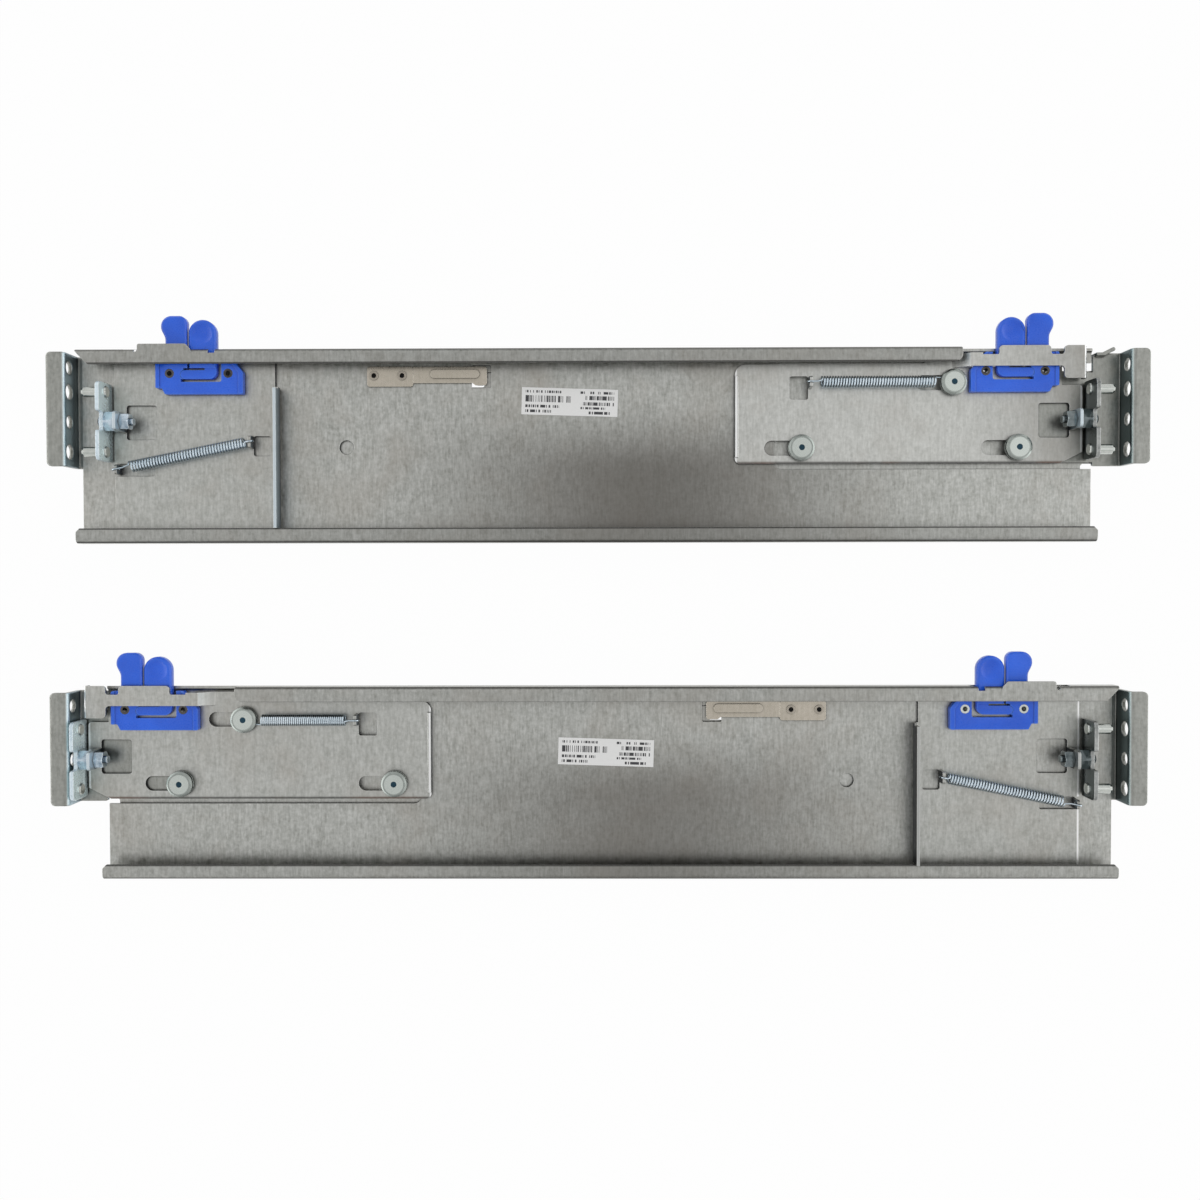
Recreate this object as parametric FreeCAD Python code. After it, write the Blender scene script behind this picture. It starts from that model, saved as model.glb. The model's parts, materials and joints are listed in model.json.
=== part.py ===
"""Sliding server rail pair, built in millimetres.

X runs along the rails, Y across the pair and Z up from the floor, with the
pair lying on the side that faces the server.  One left-hand rail is built
about its own middle, with its front at +X.  The right-hand rail is the same
rail mirrored in X, with its front carrier drawn into the locked position.
"""

import math
import os

import FreeCAD
import Part

# ---------------------------------------------------------------- rack mounting pattern
HOLE_PITCH_LONG = 15.875
HOLE_PITCH_SHORT = 12.7
EAR_SCREW_Y = 12.9
SCREW_HOLE_D = 7.0
PIN_HOLE_D = 8.0
HOLE_Z_ABOVE_FOOT = 10.8

# ---------------------------------------------------------------- sheet metal
SHEET = 1.5
EAR_SHEET = 2.0
BEND_OUTER = 3.0
RUN_GAP = 0.3
SIDE_GAP = 0.3
FIT = 0.05

# ---------------------------------------------------------------- overall layout
RAIL_PITCH = 179.5
EAR_HALF_SPAN = 281.5
EAR_STRIP_OUT = 7.5
EAR_LOW_Y = -11.0
EAR_TALL = 60.0
EAR_DEPTH = 17.0
EAR_FOOT = 16.5
LUG_START = 1.0
LUG_LONG = 10.5
LUG_RISE = 3.0
LUG_TALL = 1.0
REAR_FOOT = 29.5
TONGUE_LONG = 53.5
DENT_INSET = 35.5
DENT_Y = 27.0
EAR_BEND = 2.5
SLIDE_THICK = 12.7

CHANNEL_REAR_INSET = 4.9
CHANNEL_FRONT_INSET = 17.2
CHANNEL_HALF = 51.5
CHANNEL_DEPTH = 11.5
GUARD_LONG = 29.5
GUARD_INSET = 38.5
GUARD_RISE = 2.5
GUARD_SLANT = 4.0
LIP_WIDTH = 8.0
TOP_LIP_END_INSET = 88.5
LOW_FLANGE_HEIGHT = 2.9

NOTCH_START = 95.0
NOTCH_LOW = -12.5
NOTCH_HIGH_BELOW = 7.5

BASE_REAR_INSET = 31.5
BASE_LOW = -30.0
BASE_HIGH_BELOW = 11.5

TRAVEL = 15.5
EXTENSION = 178.0

# ---------------------------------------------------------------- pins and brackets
PIN_D = 5.5
PIN_LENGTH = 11.0
PIN_COLLAR_D = 7.0
PIN_COLLAR = 1.2
PIN_SHANK_D = 4.4
PIN_STAKE_D = 6.2
PIN_STAKE = 0.8
BRACKET_FACE_INSET = 19.5
BRACKET_LOW = -8.0
BRACKET_HIGH = 33.5
BRACKET_TALL = 17.5
BRACKET_NOTCH = 10.0
BRACKET_NOTCH_DEEP = 5.0
BOLT_D = 4.0
BOLT_HEAD_D = 6.6
BOLT_HEAD = 1.7
SPACER_NUT_AF = 10.0
SPACER_NUT = 6.5
LOCK_NUT_AF = 8.0
LOCK_NUT = 5.0
BOLT_END = 1.8
TAB_WIDTH = 10.0
TAB_TALL = 15.0
WINDOW_LONG = 16.5
WINDOW_WIDE = 18.5

# ---------------------------------------------------------------- latches
LATCH_THICK = 4.4
LATCH_LONG = 46.7
LATCH_LOW_BELOW = 23.5
LATCH_HIGH_BELOW = 2.5
LATCH_STEP = 3.2
PEANUT_MIDDLE = 9.9
PEANUT_WIDE = 13.9
PEANUT_WAIST = 11.6
LOBE_TALL = 7.0
LOBE_BLEND = 4.5
TAB_EASE = 1.0
CORNER_SLANT = 8.0
CORNER_DROP = 9.4
RIM_WIDE = 2.0
RIM_RISE = 0.6
PEANUT_TOP_ABOVE = 18.0
FINGER_MIDDLE = 25.1
FINGER_WIDE = 14.8
FINGER_TOP_ABOVE = 15.9
FINGER_DISH_R = 5.6
STEM_OFFSET = 8.4
ARM_CORNER = 3.9
ARM_LOW_BELOW = 15.5
ARM_WIDE = 4.8
ARM_ROOT = 15.5
KNUCKLE_GAP = 0.1
SLOT_DROP = 1.5
SLOT_SIDE = 2.5
SLOT_TOP = 1.0
RIVET_Y_BELOW = 12.5
RIVET_NEAR = 7.3
RIVET_FAR = 38.6
RIVET_D = 4.0
RIVET_BORE = 2.6
RIVET_FLANGE_D = 4.8
RIVET_FLANGE = 0.4

# ---------------------------------------------------------------- rear carrier
REAR_OUT_INSET = 23.1
REAR_LONG = 89.3
REAR_HALF_BELOW = 2.0
REAR_FLANGE_TALL = 10.3
REAR_FLANGE_LOW = -43.5
SKIRT_START = 10.4
SKIRT_END = 12.9
HOOK_WINDOW = 10.0
FIXED_SLOT = 21.4
REAR_FLANGE_HIGH = 31.4
REAR_LATCH_OUT_INSET = 46.8
REAR_HOOK_INSET = 15.4
REAR_HOOK_Y = 2.5
FIXED_HOOK_X_INSET = 25.5
FIXED_HOOK_Y = -12.0

# ---------------------------------------------------------------- front carrier
FRONT_LONG = 185.2
FRONT_OUT_INSET = 22.5
FRONT_LOW = -9.5
FRONT_HIGH_BELOW = 8.0
FRONT_LATCH_OUT_INSET = 36.6
FRONT_HOOK_INSET = 39.9
BAND_LOW_BELOW = 10.2
BAND_HIGH_BELOW = 4.2
BAND_START_INSET = 83.5
RAMP_START_INSET = 91.5
COVER_HIGH_ABOVE = 0.5
COVER_START_INSET = 68.8
COVER_END_INSET = 41.5
CORNER_START_INSET = 34.5
CORNER_LOW_BELOW = 16.8
SCREW_ROW_Y = -1.2
SCREW_HIGH_Y = 33.4
SCREW_INSET_NEAR = 35.2
SCREW_INSET_FAR = 34.7
SCREW_INSET_HIGH = 69.3
SCREW_HEAD_D = 13.8
SCREW_WASHER = 0.8
SCREW_NECK = 1.6
SCREW_CAP = 1.6
SCREW_NECK_D = 8.6
SCREW_SHOULDER_D = 7.4
SCREW_STUD_D = 5.0
SCREW_RECESS_D = 3.2
SLOT_WIDE = 8.0

# ---------------------------------------------------------------- springs
SPRING_R = 3.0
WIRE_R = 0.5
HOOK_RING = 1.9
LIFT = 3.2

# ---------------------------------------------------------------- release leaf
LEAF = 0.8
LEAF_REAR = -123.0
LEAF_BEND = -98.2
LEAF_TIP = -66.4
LEAF_FOOT = -58.7
LEAF_WIDE = 10.7
LEAF_HIGH_BELOW = 8.4
LEAF_RIVETS = (-119.3, -104.2)
LEAF_RIVET_UP = 5.9
TOOTH_X = -62.5
TOOTH_LONG = 3.0
TOOTH_UP = 0.9
TOOTH_WIDE = 3.0

# ---------------------------------------------------------------- slide
SLIDE_REAR = -225.0
SLIDE_FRONT = 245.0
SLIDE_SHEET = 1.2
OUTER_HALF = 23.0
MIDDLE_HALF = 17.2
INNER_HALF = 11.6
BALL_CLEAR = 0.1
RACE_DIP = 0.6
RACE_SHIFT = 0.45
CAGE_LONG = 150.0
CAGE_SHEET = 0.8
BALLS_PER_SIDE = 6
BALL_ROWS = 6
BALL_COLUMNS = 8
NAIL_SPOTS = (-190.0, 20.0, 215.0)
NAIL_HEAD_D = 10.0
NAIL_SHANK_D = 5.2
NAIL_SLOT = 9.0

# ---------------------------------------------------------------- derived places along the rail
CHANNEL_REAR = -(EAR_HALF_SPAN - CHANNEL_REAR_INSET)
CHANNEL_FRONT = EAR_HALF_SPAN - CHANNEL_FRONT_INSET
TOP_LIP_END = EAR_HALF_SPAN - TOP_LIP_END_INSET
BASE_REAR = -(EAR_HALF_SPAN - BASE_REAR_INSET)
BRACKET_FACE = EAR_HALF_SPAN - BRACKET_FACE_INSET
REAR_OUT = -(EAR_HALF_SPAN - REAR_OUT_INSET)
REAR_LATCH_OUT = -(EAR_HALF_SPAN - REAR_LATCH_OUT_INSET)
FIXED_HOOK_X = -(EAR_HALF_SPAN - FIXED_HOOK_X_INSET)
FRONT_OUT = EAR_HALF_SPAN - FRONT_OUT_INSET
FRONT_LATCH_OUT = EAR_HALF_SPAN - FRONT_LATCH_OUT_INSET
BAND_START = EAR_HALF_SPAN - BAND_START_INSET
RAMP_START = EAR_HALF_SPAN - RAMP_START_INSET
COVER_START = EAR_HALF_SPAN - COVER_START_INSET
COVER_END = EAR_HALF_SPAN - COVER_END_INSET
CORNER_START = EAR_HALF_SPAN - CORNER_START_INSET
REAR_IN = REAR_OUT + REAR_LONG
REAR_HOOK_X = REAR_IN - REAR_HOOK_INSET
FRONT_IN = FRONT_OUT - FRONT_LONG
FRONT_HOOK_X = FRONT_IN + FRONT_HOOK_INSET
FRONT_HOOK_Y = SCREW_HIGH_Y
SCREW_SPOTS = (
    (FRONT_IN + SCREW_INSET_NEAR, SCREW_ROW_Y),
    (FRONT_OUT - SCREW_INSET_FAR, SCREW_ROW_Y),
    (FRONT_OUT - SCREW_INSET_HIGH, SCREW_HIGH_Y),
)

# ---------------------------------------------------------------- derived places across the rail
LATCH_LOW = CHANNEL_HALF - LATCH_LOW_BELOW
LATCH_HIGH = CHANNEL_HALF - LATCH_HIGH_BELOW
PEANUT_TOP = CHANNEL_HALF + PEANUT_TOP_ABOVE
FINGER_TOP = CHANNEL_HALF + FINGER_TOP_ABOVE
ARM_LOW = CHANNEL_HALF - ARM_LOW_BELOW
RIVET_Y = CHANNEL_HALF - RIVET_Y_BELOW
REAR_HALF = CHANNEL_HALF - REAR_HALF_BELOW
FRONT_HIGH = CHANNEL_HALF - FRONT_HIGH_BELOW
BAND_LOW = CHANNEL_HALF - BAND_LOW_BELOW
BAND_HIGH = CHANNEL_HALF - BAND_HIGH_BELOW
COVER_HIGH = CHANNEL_HALF + COVER_HIGH_ABOVE
CORNER_LOW = CHANNEL_HALF - CORNER_LOW_BELOW
NOTCH_HIGH = CHANNEL_HALF - NOTCH_HIGH_BELOW
BASE_HIGH = CHANNEL_HALF - BASE_HIGH_BELOW
LEAF_HIGH = CHANNEL_HALF - LEAF_HIGH_BELOW
ARM_HIGH = ARM_LOW + ARM_WIDE
LEAF_LOW = LEAF_HIGH - LEAF_WIDE
LEAF_RIVET_Y = LEAF_LOW + LEAF_RIVET_UP
TOOTH_LOW = LEAF_LOW + TOOTH_UP

# ---------------------------------------------------------------- derived levels
BASE_Z = SLIDE_THICK
BASE_TOP = BASE_Z + SHEET
WEB_Z = BASE_TOP + RUN_GAP
WEB_TOP = WEB_Z + SHEET
FRONT_FOOT_TOP = BASE_TOP + EAR_SHEET
PLATE_Z = max(WEB_TOP, FRONT_FOOT_TOP) + RUN_GAP
PLATE_TOP = PLATE_Z + SHEET
LATCH_TOP = PLATE_TOP + LATCH_THICK
LATCH_FACE = LATCH_TOP - RIM_RISE
BAND_Z = LATCH_TOP + RUN_GAP
BAND_TOP = BAND_Z + SHEET
LIP_TOP = max(WEB_Z + CHANNEL_DEPTH, BAND_TOP + RUN_GAP + SHEET)
LIP_Z = LIP_TOP - SHEET
PIN_Z = BASE_TOP + HOLE_Z_ABOVE_FOOT
EAR_TOP = BASE_TOP + EAR_DEPTH
EAR_FACE = EAR_HALF_SPAN - EAR_SHEET
BRACKET_Z = PLATE_TOP - SHEET + 0.2
BRACKET_TOP = BRACKET_Z + BRACKET_TALL
BRACKET_BACK = BRACKET_FACE - EAR_SHEET
TAB_FACE = BRACKET_BACK - SPACER_NUT
SPRING_Z = PLATE_TOP + LIFT
UPPER_PIN_Y = EAR_SCREW_Y + HOLE_PITCH_LONG
LOWER_PIN_Y = EAR_SCREW_Y - HOLE_PITCH_LONG
TOP_SCREW_Y = UPPER_PIN_Y + HOLE_PITCH_SHORT
PAIR_SHIFT = -(PEANUT_TOP - CHANNEL_HALF) / 2


def vec(x, y, z):
    """Return a FreeCAD vector."""
    return FreeCAD.Vector(x, y, z)


def box(x0, x1, y0, y1, z0, z1):
    """Return a box between two corners given axis by axis."""
    return Part.makeBox(x1 - x0, y1 - y0, z1 - z0, vec(x0, y0, z0))


def rod(radius, x, y, z0, z1):
    """Return an upright cylinder."""
    return Part.makeCylinder(radius, z1 - z0, vec(x, y, z0), vec(0, 0, 1))


def rod_x(radius, x0, x1, y, z):
    """Return a cylinder lying along X."""
    return Part.makeCylinder(radius, x1 - x0, vec(x0, y, z), vec(1, 0, 0))


def corner_edges(previous, here, following, radius):
    """Return the tangent points and the middle of a rounded corner."""
    back = (previous - here).normalize()
    ahead = (following - here).normalize()
    half = back.getAngle(ahead) / 2
    reach = radius / math.tan(half)
    bisector = (back + ahead).normalize()
    centre = here + bisector * (radius / math.sin(half))
    middle = centre - bisector * radius
    return here + back * reach, middle, here + ahead * reach


def outline(points, place):
    """Return a closed face from (u, v) or (u, v, radius) points laid on a plane."""
    spots = [place(point[0], point[1]) for point in points]
    radii = [point[2] if len(point) > 2 else 0 for point in points]
    count = len(spots)
    edges = []
    runs = []
    for index in range(count):
        if radii[index] <= 0:
            runs.append((spots[index], None, spots[index]))
            continue
        previous = spots[index - 1]
        following = spots[(index + 1) % count]
        runs.append(corner_edges(previous, spots[index], following, radii[index]))
    for index in range(count):
        entry, middle, leave = runs[index]
        if middle is not None:
            edges.append(Part.Arc(entry, middle, leave).toShape())
        following = runs[(index + 1) % count][0]
        if leave.distanceToPoint(following) > 1e-6:
            edges.append(Part.makeLine(leave, following))
    return Part.Face(Part.Wire(edges))


def plate(points, z0, z1):
    """Return a flat plate from an outline seen from above."""
    face = outline(points, lambda u, v: vec(u, v, z0))
    return face.extrude(vec(0, 0, z1 - z0))


def bar_x(points, x0, x1):
    """Return a section given in Y and Z, drawn out along X."""
    face = outline(points, lambda u, v: vec(x0, u, v))
    return face.extrude(vec(x1 - x0, 0, 0))


def bar_y(points, y0, y1):
    """Return a section given in X and Z, drawn out along Y."""
    face = outline(points, lambda u, v: vec(u, y0, v))
    return face.extrude(vec(0, y1 - y0, 0))


def slot(x0, x1, y, width, z0, z1):
    """Return a straight slot with round ends between two centres."""
    radius = width / 2
    ends = rod(radius, x0, y, z0, z1).fuse(rod(radius, x1, y, z0, z1))
    return ends.fuse(box(x0, x1, y - radius, y + radius, z0, z1)).removeSplitter()


def rounded(x0, x1, y0, y1, radius, z0, z1):
    """Return a rectangular plate with equal corner radii."""
    points = [(x0, y0, radius), (x1, y0, radius), (x1, y1, radius), (x0, y1, radius)]
    return plate(points, z0, z1)


def hexagon(flats, x0, x1, y, z):
    """Return a hexagonal prism lying along X, its corners eased."""
    radius = flats / math.sqrt(3)
    points = []
    for index in range(6):
        angle = math.radians(60 * index + 30)
        points.append((y + radius * math.cos(angle), z + radius * math.sin(angle)))
    body = bar_x(points, x0, x1)
    ease = Part.makeCone(radius * 0.93, radius + (x1 - x0) / 2, (x1 - x0) / 2, vec(x0, y, z), vec(1, 0, 0))
    tail = Part.makeCone(radius + (x1 - x0) / 2, radius * 0.93, (x1 - x0) / 2,
                         vec((x0 + x1) / 2, y, z), vec(1, 0, 0))
    return body.common(ease.fuse(tail))


def cut_all(body, tools):
    """Cut a list of tools from a body."""
    return body.cut(Part.makeCompound(tools)) if tools else body


# ---------------------------------------------------------------- ears
def ear_section(foot_z, inner_x):
    """Return the bent section of the front ear: foot, flange and outward strip."""
    outer = EAR_HALF_SPAN
    tip = outer + EAR_STRIP_OUT
    inner_bend = EAR_BEND - EAR_SHEET
    return [
        (inner_x, foot_z),
        (outer, foot_z, EAR_BEND),
        (outer, EAR_TOP - EAR_SHEET, inner_bend),
        (tip, EAR_TOP - EAR_SHEET),
        (tip, EAR_TOP),
        (outer - EAR_SHEET, EAR_TOP, EAR_BEND),
        (outer - EAR_SHEET, foot_z + EAR_SHEET, inner_bend),
        (inner_x, foot_z + EAR_SHEET),
    ]


def ear(foot_z, inner_x):
    """Return a mounting ear with its four holes in the rack pitch."""
    high = EAR_LOW_Y + EAR_TALL
    body = bar_y(ear_section(foot_z, inner_x), EAR_LOW_Y, high)
    outside = EAR_HALF_SPAN + EAR_STRIP_OUT
    round_off = rounded(inner_x - 1, outside, EAR_LOW_Y, high, 2.5, foot_z - 1, EAR_TOP + 1)
    body = body.common(round_off)
    spots = [
        (TOP_SCREW_Y, SCREW_HOLE_D),
        (UPPER_PIN_Y, PIN_HOLE_D),
        (EAR_SCREW_Y, SCREW_HOLE_D),
        (LOWER_PIN_Y, PIN_HOLE_D),
    ]
    tools = []
    for y, size in spots:
        tools.append(rod_x(size / 2, EAR_FACE - 1, EAR_HALF_SPAN + 1, y, PIN_Z))
    return cut_all(body, tools)


def curled_lug(start, high):
    """Return the lug at the top of the front ear, rolled up and leaning outwards."""
    wall = high - SHEET
    reach = start + LUG_LONG
    upright = plate([(start, wall), (start + 4.5, wall), (reach, wall + LUG_RISE, 1), (reach - 1.5, high + LUG_RISE, 1),
                     (start + 3.0, high), (start, high)], BASE_TOP + EAR_SHEET, PLATE_TOP + LUG_TALL)
    root = box(start, start + 4.5, wall - 0.5, high, BASE_TOP, PLATE_TOP)
    return upright.fuse(root)


def front_ear():
    """Return the front ear, with the narrow tongue that lies on the base."""
    body = ear(BASE_TOP, EAR_HALF_SPAN - EAR_FOOT)
    foot = EAR_HALF_SPAN - EAR_FOOT
    tongue = rounded(EAR_HALF_SPAN - TONGUE_LONG, foot + 5.3, EAR_LOW_Y + 2, BASE_HIGH - 1, 3, BASE_TOP, FRONT_FOOT_TOP)
    high = EAR_LOW_Y + EAR_TALL
    lug = curled_lug(foot + LUG_START, high)
    screw_x, screw_y = SCREW_SPOTS[1]
    hole = rod(SCREW_SHOULDER_D / 2 + FIT, screw_x, screw_y, BASE_TOP - 1, PLATE_TOP)
    dent = rod(3.4, EAR_HALF_SPAN - DENT_INSET, DENT_Y, BASE_TOP - 1, PLATE_TOP)
    return body.fuse([tongue, lug]).cut(hole.fuse(dent)).removeSplitter()


def rear_ear():
    """Return the rear ear, whose foot lies behind the web of the channel."""
    body = ear(WEB_Z - EAR_SHEET, EAR_HALF_SPAN - REAR_FOOT)
    return body.mirror(vec(0, 0, 0), vec(1, 0, 0))


# ---------------------------------------------------------------- channel
def channel_section():
    """Return the C section of the channel."""
    half = CHANNEL_HALF
    inner = half - SHEET
    lip = half - LIP_WIDTH
    inner_r = BEND_OUTER - SHEET
    return [
        (-lip, LIP_TOP), (-half, LIP_TOP, BEND_OUTER), (-half, WEB_Z, BEND_OUTER),
        (half, WEB_Z, BEND_OUTER), (half, LIP_TOP, BEND_OUTER), (lip, LIP_TOP),
        (lip, LIP_Z), (inner, LIP_Z, inner_r), (inner, WEB_TOP, inner_r),
        (-inner, WEB_TOP, inner_r), (-inner, LIP_Z, inner_r), (-lip, LIP_Z),
    ]


def channel_openings():
    """Return every opening of the channel."""
    far = CHANNEL_FRONT + 1
    top = LIP_TOP + 1
    lip = CHANNEL_HALF - LIP_WIDTH
    low_flange = WEB_TOP + LOW_FLANGE_HEIGHT - SHEET
    tools = []
    notch = plate([(NOTCH_START, NOTCH_LOW, 4), (far, NOTCH_LOW), (far, NOTCH_HIGH), (NOTCH_START, NOTCH_HIGH, 4)],
                  WEB_Z - 1, WEB_TOP + 1)
    tools.append(notch)
    tools.append(box(TOP_LIP_END, far, lip - 1, CHANNEL_HALF + 1, low_flange, top))
    corner = box(TOP_LIP_END - 4, TOP_LIP_END + 1, lip - 1, lip + 4, LIP_Z - 1, top)
    tools.append(corner.cut(rod(4, TOP_LIP_END - 4, lip + 4, LIP_Z - 2, top + 1)))
    ends = [(CHANNEL_REAR, 1, 8.0), (CHANNEL_REAR, -1, 3.0)]
    for x, side, size in ends:
        points = [(x - 1, side * (lip - 1)), (x + size, side * (lip - 1)), (x - 1, side * (lip + size))]
        tools.append(plate(points, LIP_Z - 1, top))
    points = [(far, -lip + 1), (CHANNEL_FRONT - 3, -lip + 1), (far, -lip - 3)]
    tools.append(plate(points, LIP_Z - 1, top))
    latch_rear = REAR_LATCH_OUT - TRAVEL - 1
    latch_front = REAR_LATCH_OUT + 36.5
    tools.append(box(latch_rear, latch_front, CHANNEL_HALF - 2 * SHEET, CHANNEL_HALF + 1,
                     PLATE_TOP - RUN_GAP, LIP_Z - 0.4))
    notch = latch_front - 4
    tools.append(box(notch - 3.4, notch + 0.2, CHANNEL_HALF - 2.4, CHANNEL_HALF + 4, LIP_Z - 1, top))
    tools.append(rod(0.9, GUARD_INSET - EAR_HALF_SPAN - 1.5, CHANNEL_HALF - 1.2, LIP_Z - 1, top))
    tools.append(rod(3.9, -134.3, 0, WEB_Z - 1, WEB_TOP + 1))
    tools.append(rounded(-67.0, -56.5, 31.5, 44.0, 1, WEB_Z - 1, WEB_TOP + 1))
    return tools


def upright_hook(x, y, z0, width, lean=1):
    """Return a tab across X with a hole for the end ring of a spring."""
    ring_z = SPRING_Z - 0.2
    top = ring_z + HOOK_RING + 1.1
    half = SHEET / 2
    points = [(y - width / 2, z0), (y + width / 2, z0), (y + width / 2, top, 1.5), (y - width / 2, top, 1.5)]
    body = bar_x(points, x - half, x + half)
    return body.cut(rod_x(1.1, x - half - 1, x + half + 1, y, ring_z))


def rail_channel():
    """Return the C-channel with its raised guard and the fixed spring hook."""
    body = bar_x(channel_section(), CHANNEL_REAR, CHANNEL_FRONT)
    edge = CHANNEL_HALF
    low = edge - 4
    high = edge + GUARD_RISE
    outer = GUARD_INSET - EAR_HALF_SPAN
    inner = outer + GUARD_LONG
    guard = plate([(outer, low), (inner, low), (inner - 1.5, edge), (inner - GUARD_SLANT, high, 1), (outer, high, 1)],
                  LIP_Z, LIP_TOP)
    body = cut_all(body.fuse(guard), channel_openings())
    hook = upright_hook(FIXED_HOOK_X, FIXED_HOOK_Y, WEB_Z, 5.0)
    foot = box(FIXED_HOOK_X - 5, FIXED_HOOK_X, FIXED_HOOK_Y - 2.5, FIXED_HOOK_Y + 2.5, WEB_Z, WEB_TOP)
    return body.fuse([hook, foot]).removeSplitter()


def guide_tracks():
    """Return the two hooked strips that hold the channel on the base."""
    tracks = []
    hook_z = BASE_Z - RUN_GAP
    for edge, side in ((BASE_HIGH, 1), (BASE_LOW, -1)):
        wall = edge + side * SIDE_GAP
        thick = 1.2
        points = [
            (wall + side * 7.5, WEB_Z), (wall, WEB_Z), (wall, hook_z), (wall - side * 2.8, hook_z),
            (wall - side * 2.8, hook_z - thick), (wall + side * thick, hook_z - thick, 1.0),
            (wall + side * thick, WEB_Z - thick, 0.6), (wall + side * 7.5, WEB_Z - thick),
        ]
        tracks.append(bar_x(points, BASE_REAR + 6, NOTCH_START - 5))
    return Part.makeCompound(tracks)


# ---------------------------------------------------------------- release leaf
def leaf_mount():
    """Return the riveted end of the release leaf."""
    body = rounded(LEAF_REAR, LEAF_BEND - FIT, LEAF_LOW, LEAF_HIGH, 1.5, WEB_TOP, WEB_TOP + LEAF)
    tools = []
    for x in LEAF_RIVETS:
        tools.append(rod(RIVET_D / 2 + FIT, x, LEAF_RIVET_Y, WEB_TOP - 1, WEB_TOP + LEAF + 1))
    return cut_all(body, tools)


def leaf_tongue():
    """Return the springy blade of the leaf with its rib, foot and stop tooth."""
    top = WEB_TOP + LEAF
    low = LEAF_LOW + 1.8
    high = LEAF_HIGH - 0.1
    points = [(LEAF_BEND, low), (LEAF_TIP, low), (LEAF_TIP + 1.5, LEAF_LOW + 0.6, 1), (LEAF_FOOT, LEAF_LOW + 0.6, 1.5),
              (LEAF_FOOT, high, 1.5), (LEAF_BEND, high)]
    body = plate(points, WEB_TOP, top)
    rib = slot(-86.8, -64.9, 39.05, 4.5, WEB_TOP + 0.3, top + 0.7)
    tooth = bar_y([(TOOTH_X - TOOTH_LONG / 2, top), (TOOTH_X - TOOTH_LONG / 2, BASE_Z + RUN_GAP, 0.5),
                   (TOOTH_X + TOOTH_LONG / 2, BASE_Z + RUN_GAP, 0.5), (TOOTH_X + TOOTH_LONG / 2, top)],
                  TOOTH_LOW, TOOTH_LOW + TOOTH_WIDE)
    return body.fuse([rib, tooth]).removeSplitter()


def eyelet(x, y, z0, z1):
    """Return a hollow rivet with a rolled flange on top and a small one below."""
    shank = rod(RIVET_D / 2, x, y, z0, z1)
    flange = rod(RIVET_FLANGE_D / 2, x, y, z1 - RIVET_FLANGE, z1)
    bore = rod(RIVET_BORE / 2, x, y, z0 - 1, z1 + 1)
    return shank.fuse(flange).cut(bore).removeSplitter()


def leaf_rivets():
    """Return the two eyelets of the release leaf."""
    rivets = []
    for x in LEAF_RIVETS:
        rivets.append(eyelet(x, LEAF_RIVET_Y, WEB_TOP, WEB_TOP + LEAF + RIVET_FLANGE))
    return Part.makeCompound(rivets)


# ---------------------------------------------------------------- carriers
def lanced_tab(z0):
    """Return the front-side upright tab that the bracket bolt clamps."""
    y = EAR_SCREW_Y
    half = TAB_WIDTH / 2
    top = PLATE_TOP + TAB_TALL
    points = [(y - half, z0), (y + half, z0), (y + half, top, 2), (y - half, top, 2)]
    body = bar_x(points, TAB_FACE - SHEET, TAB_FACE)
    bore = rod_x(BOLT_D / 2 + FIT, TAB_FACE - SHEET - 1, TAB_FACE + 1, y, PIN_Z)
    return body.cut(bore)


def tab_window(z0, z1):
    """Return the opening left by the lanced tab."""
    y = EAR_SCREW_Y + 0.4
    end = TAB_FACE - SHEET
    return rounded(end - WINDOW_LONG, end, y - WINDOW_WIDE / 2, y + WINDOW_WIDE / 2, 1.5, z0, z1)


def rivet_bores(latch_out, side, z0, z1):
    """Return the bores for the two eyelets of a latch."""
    tools = []
    for reach in (RIVET_NEAR, RIVET_FAR):
        tools.append(rod(RIVET_D / 2 + FIT, latch_out + side * reach, RIVET_Y, z0, z1))
    return tools


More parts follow.
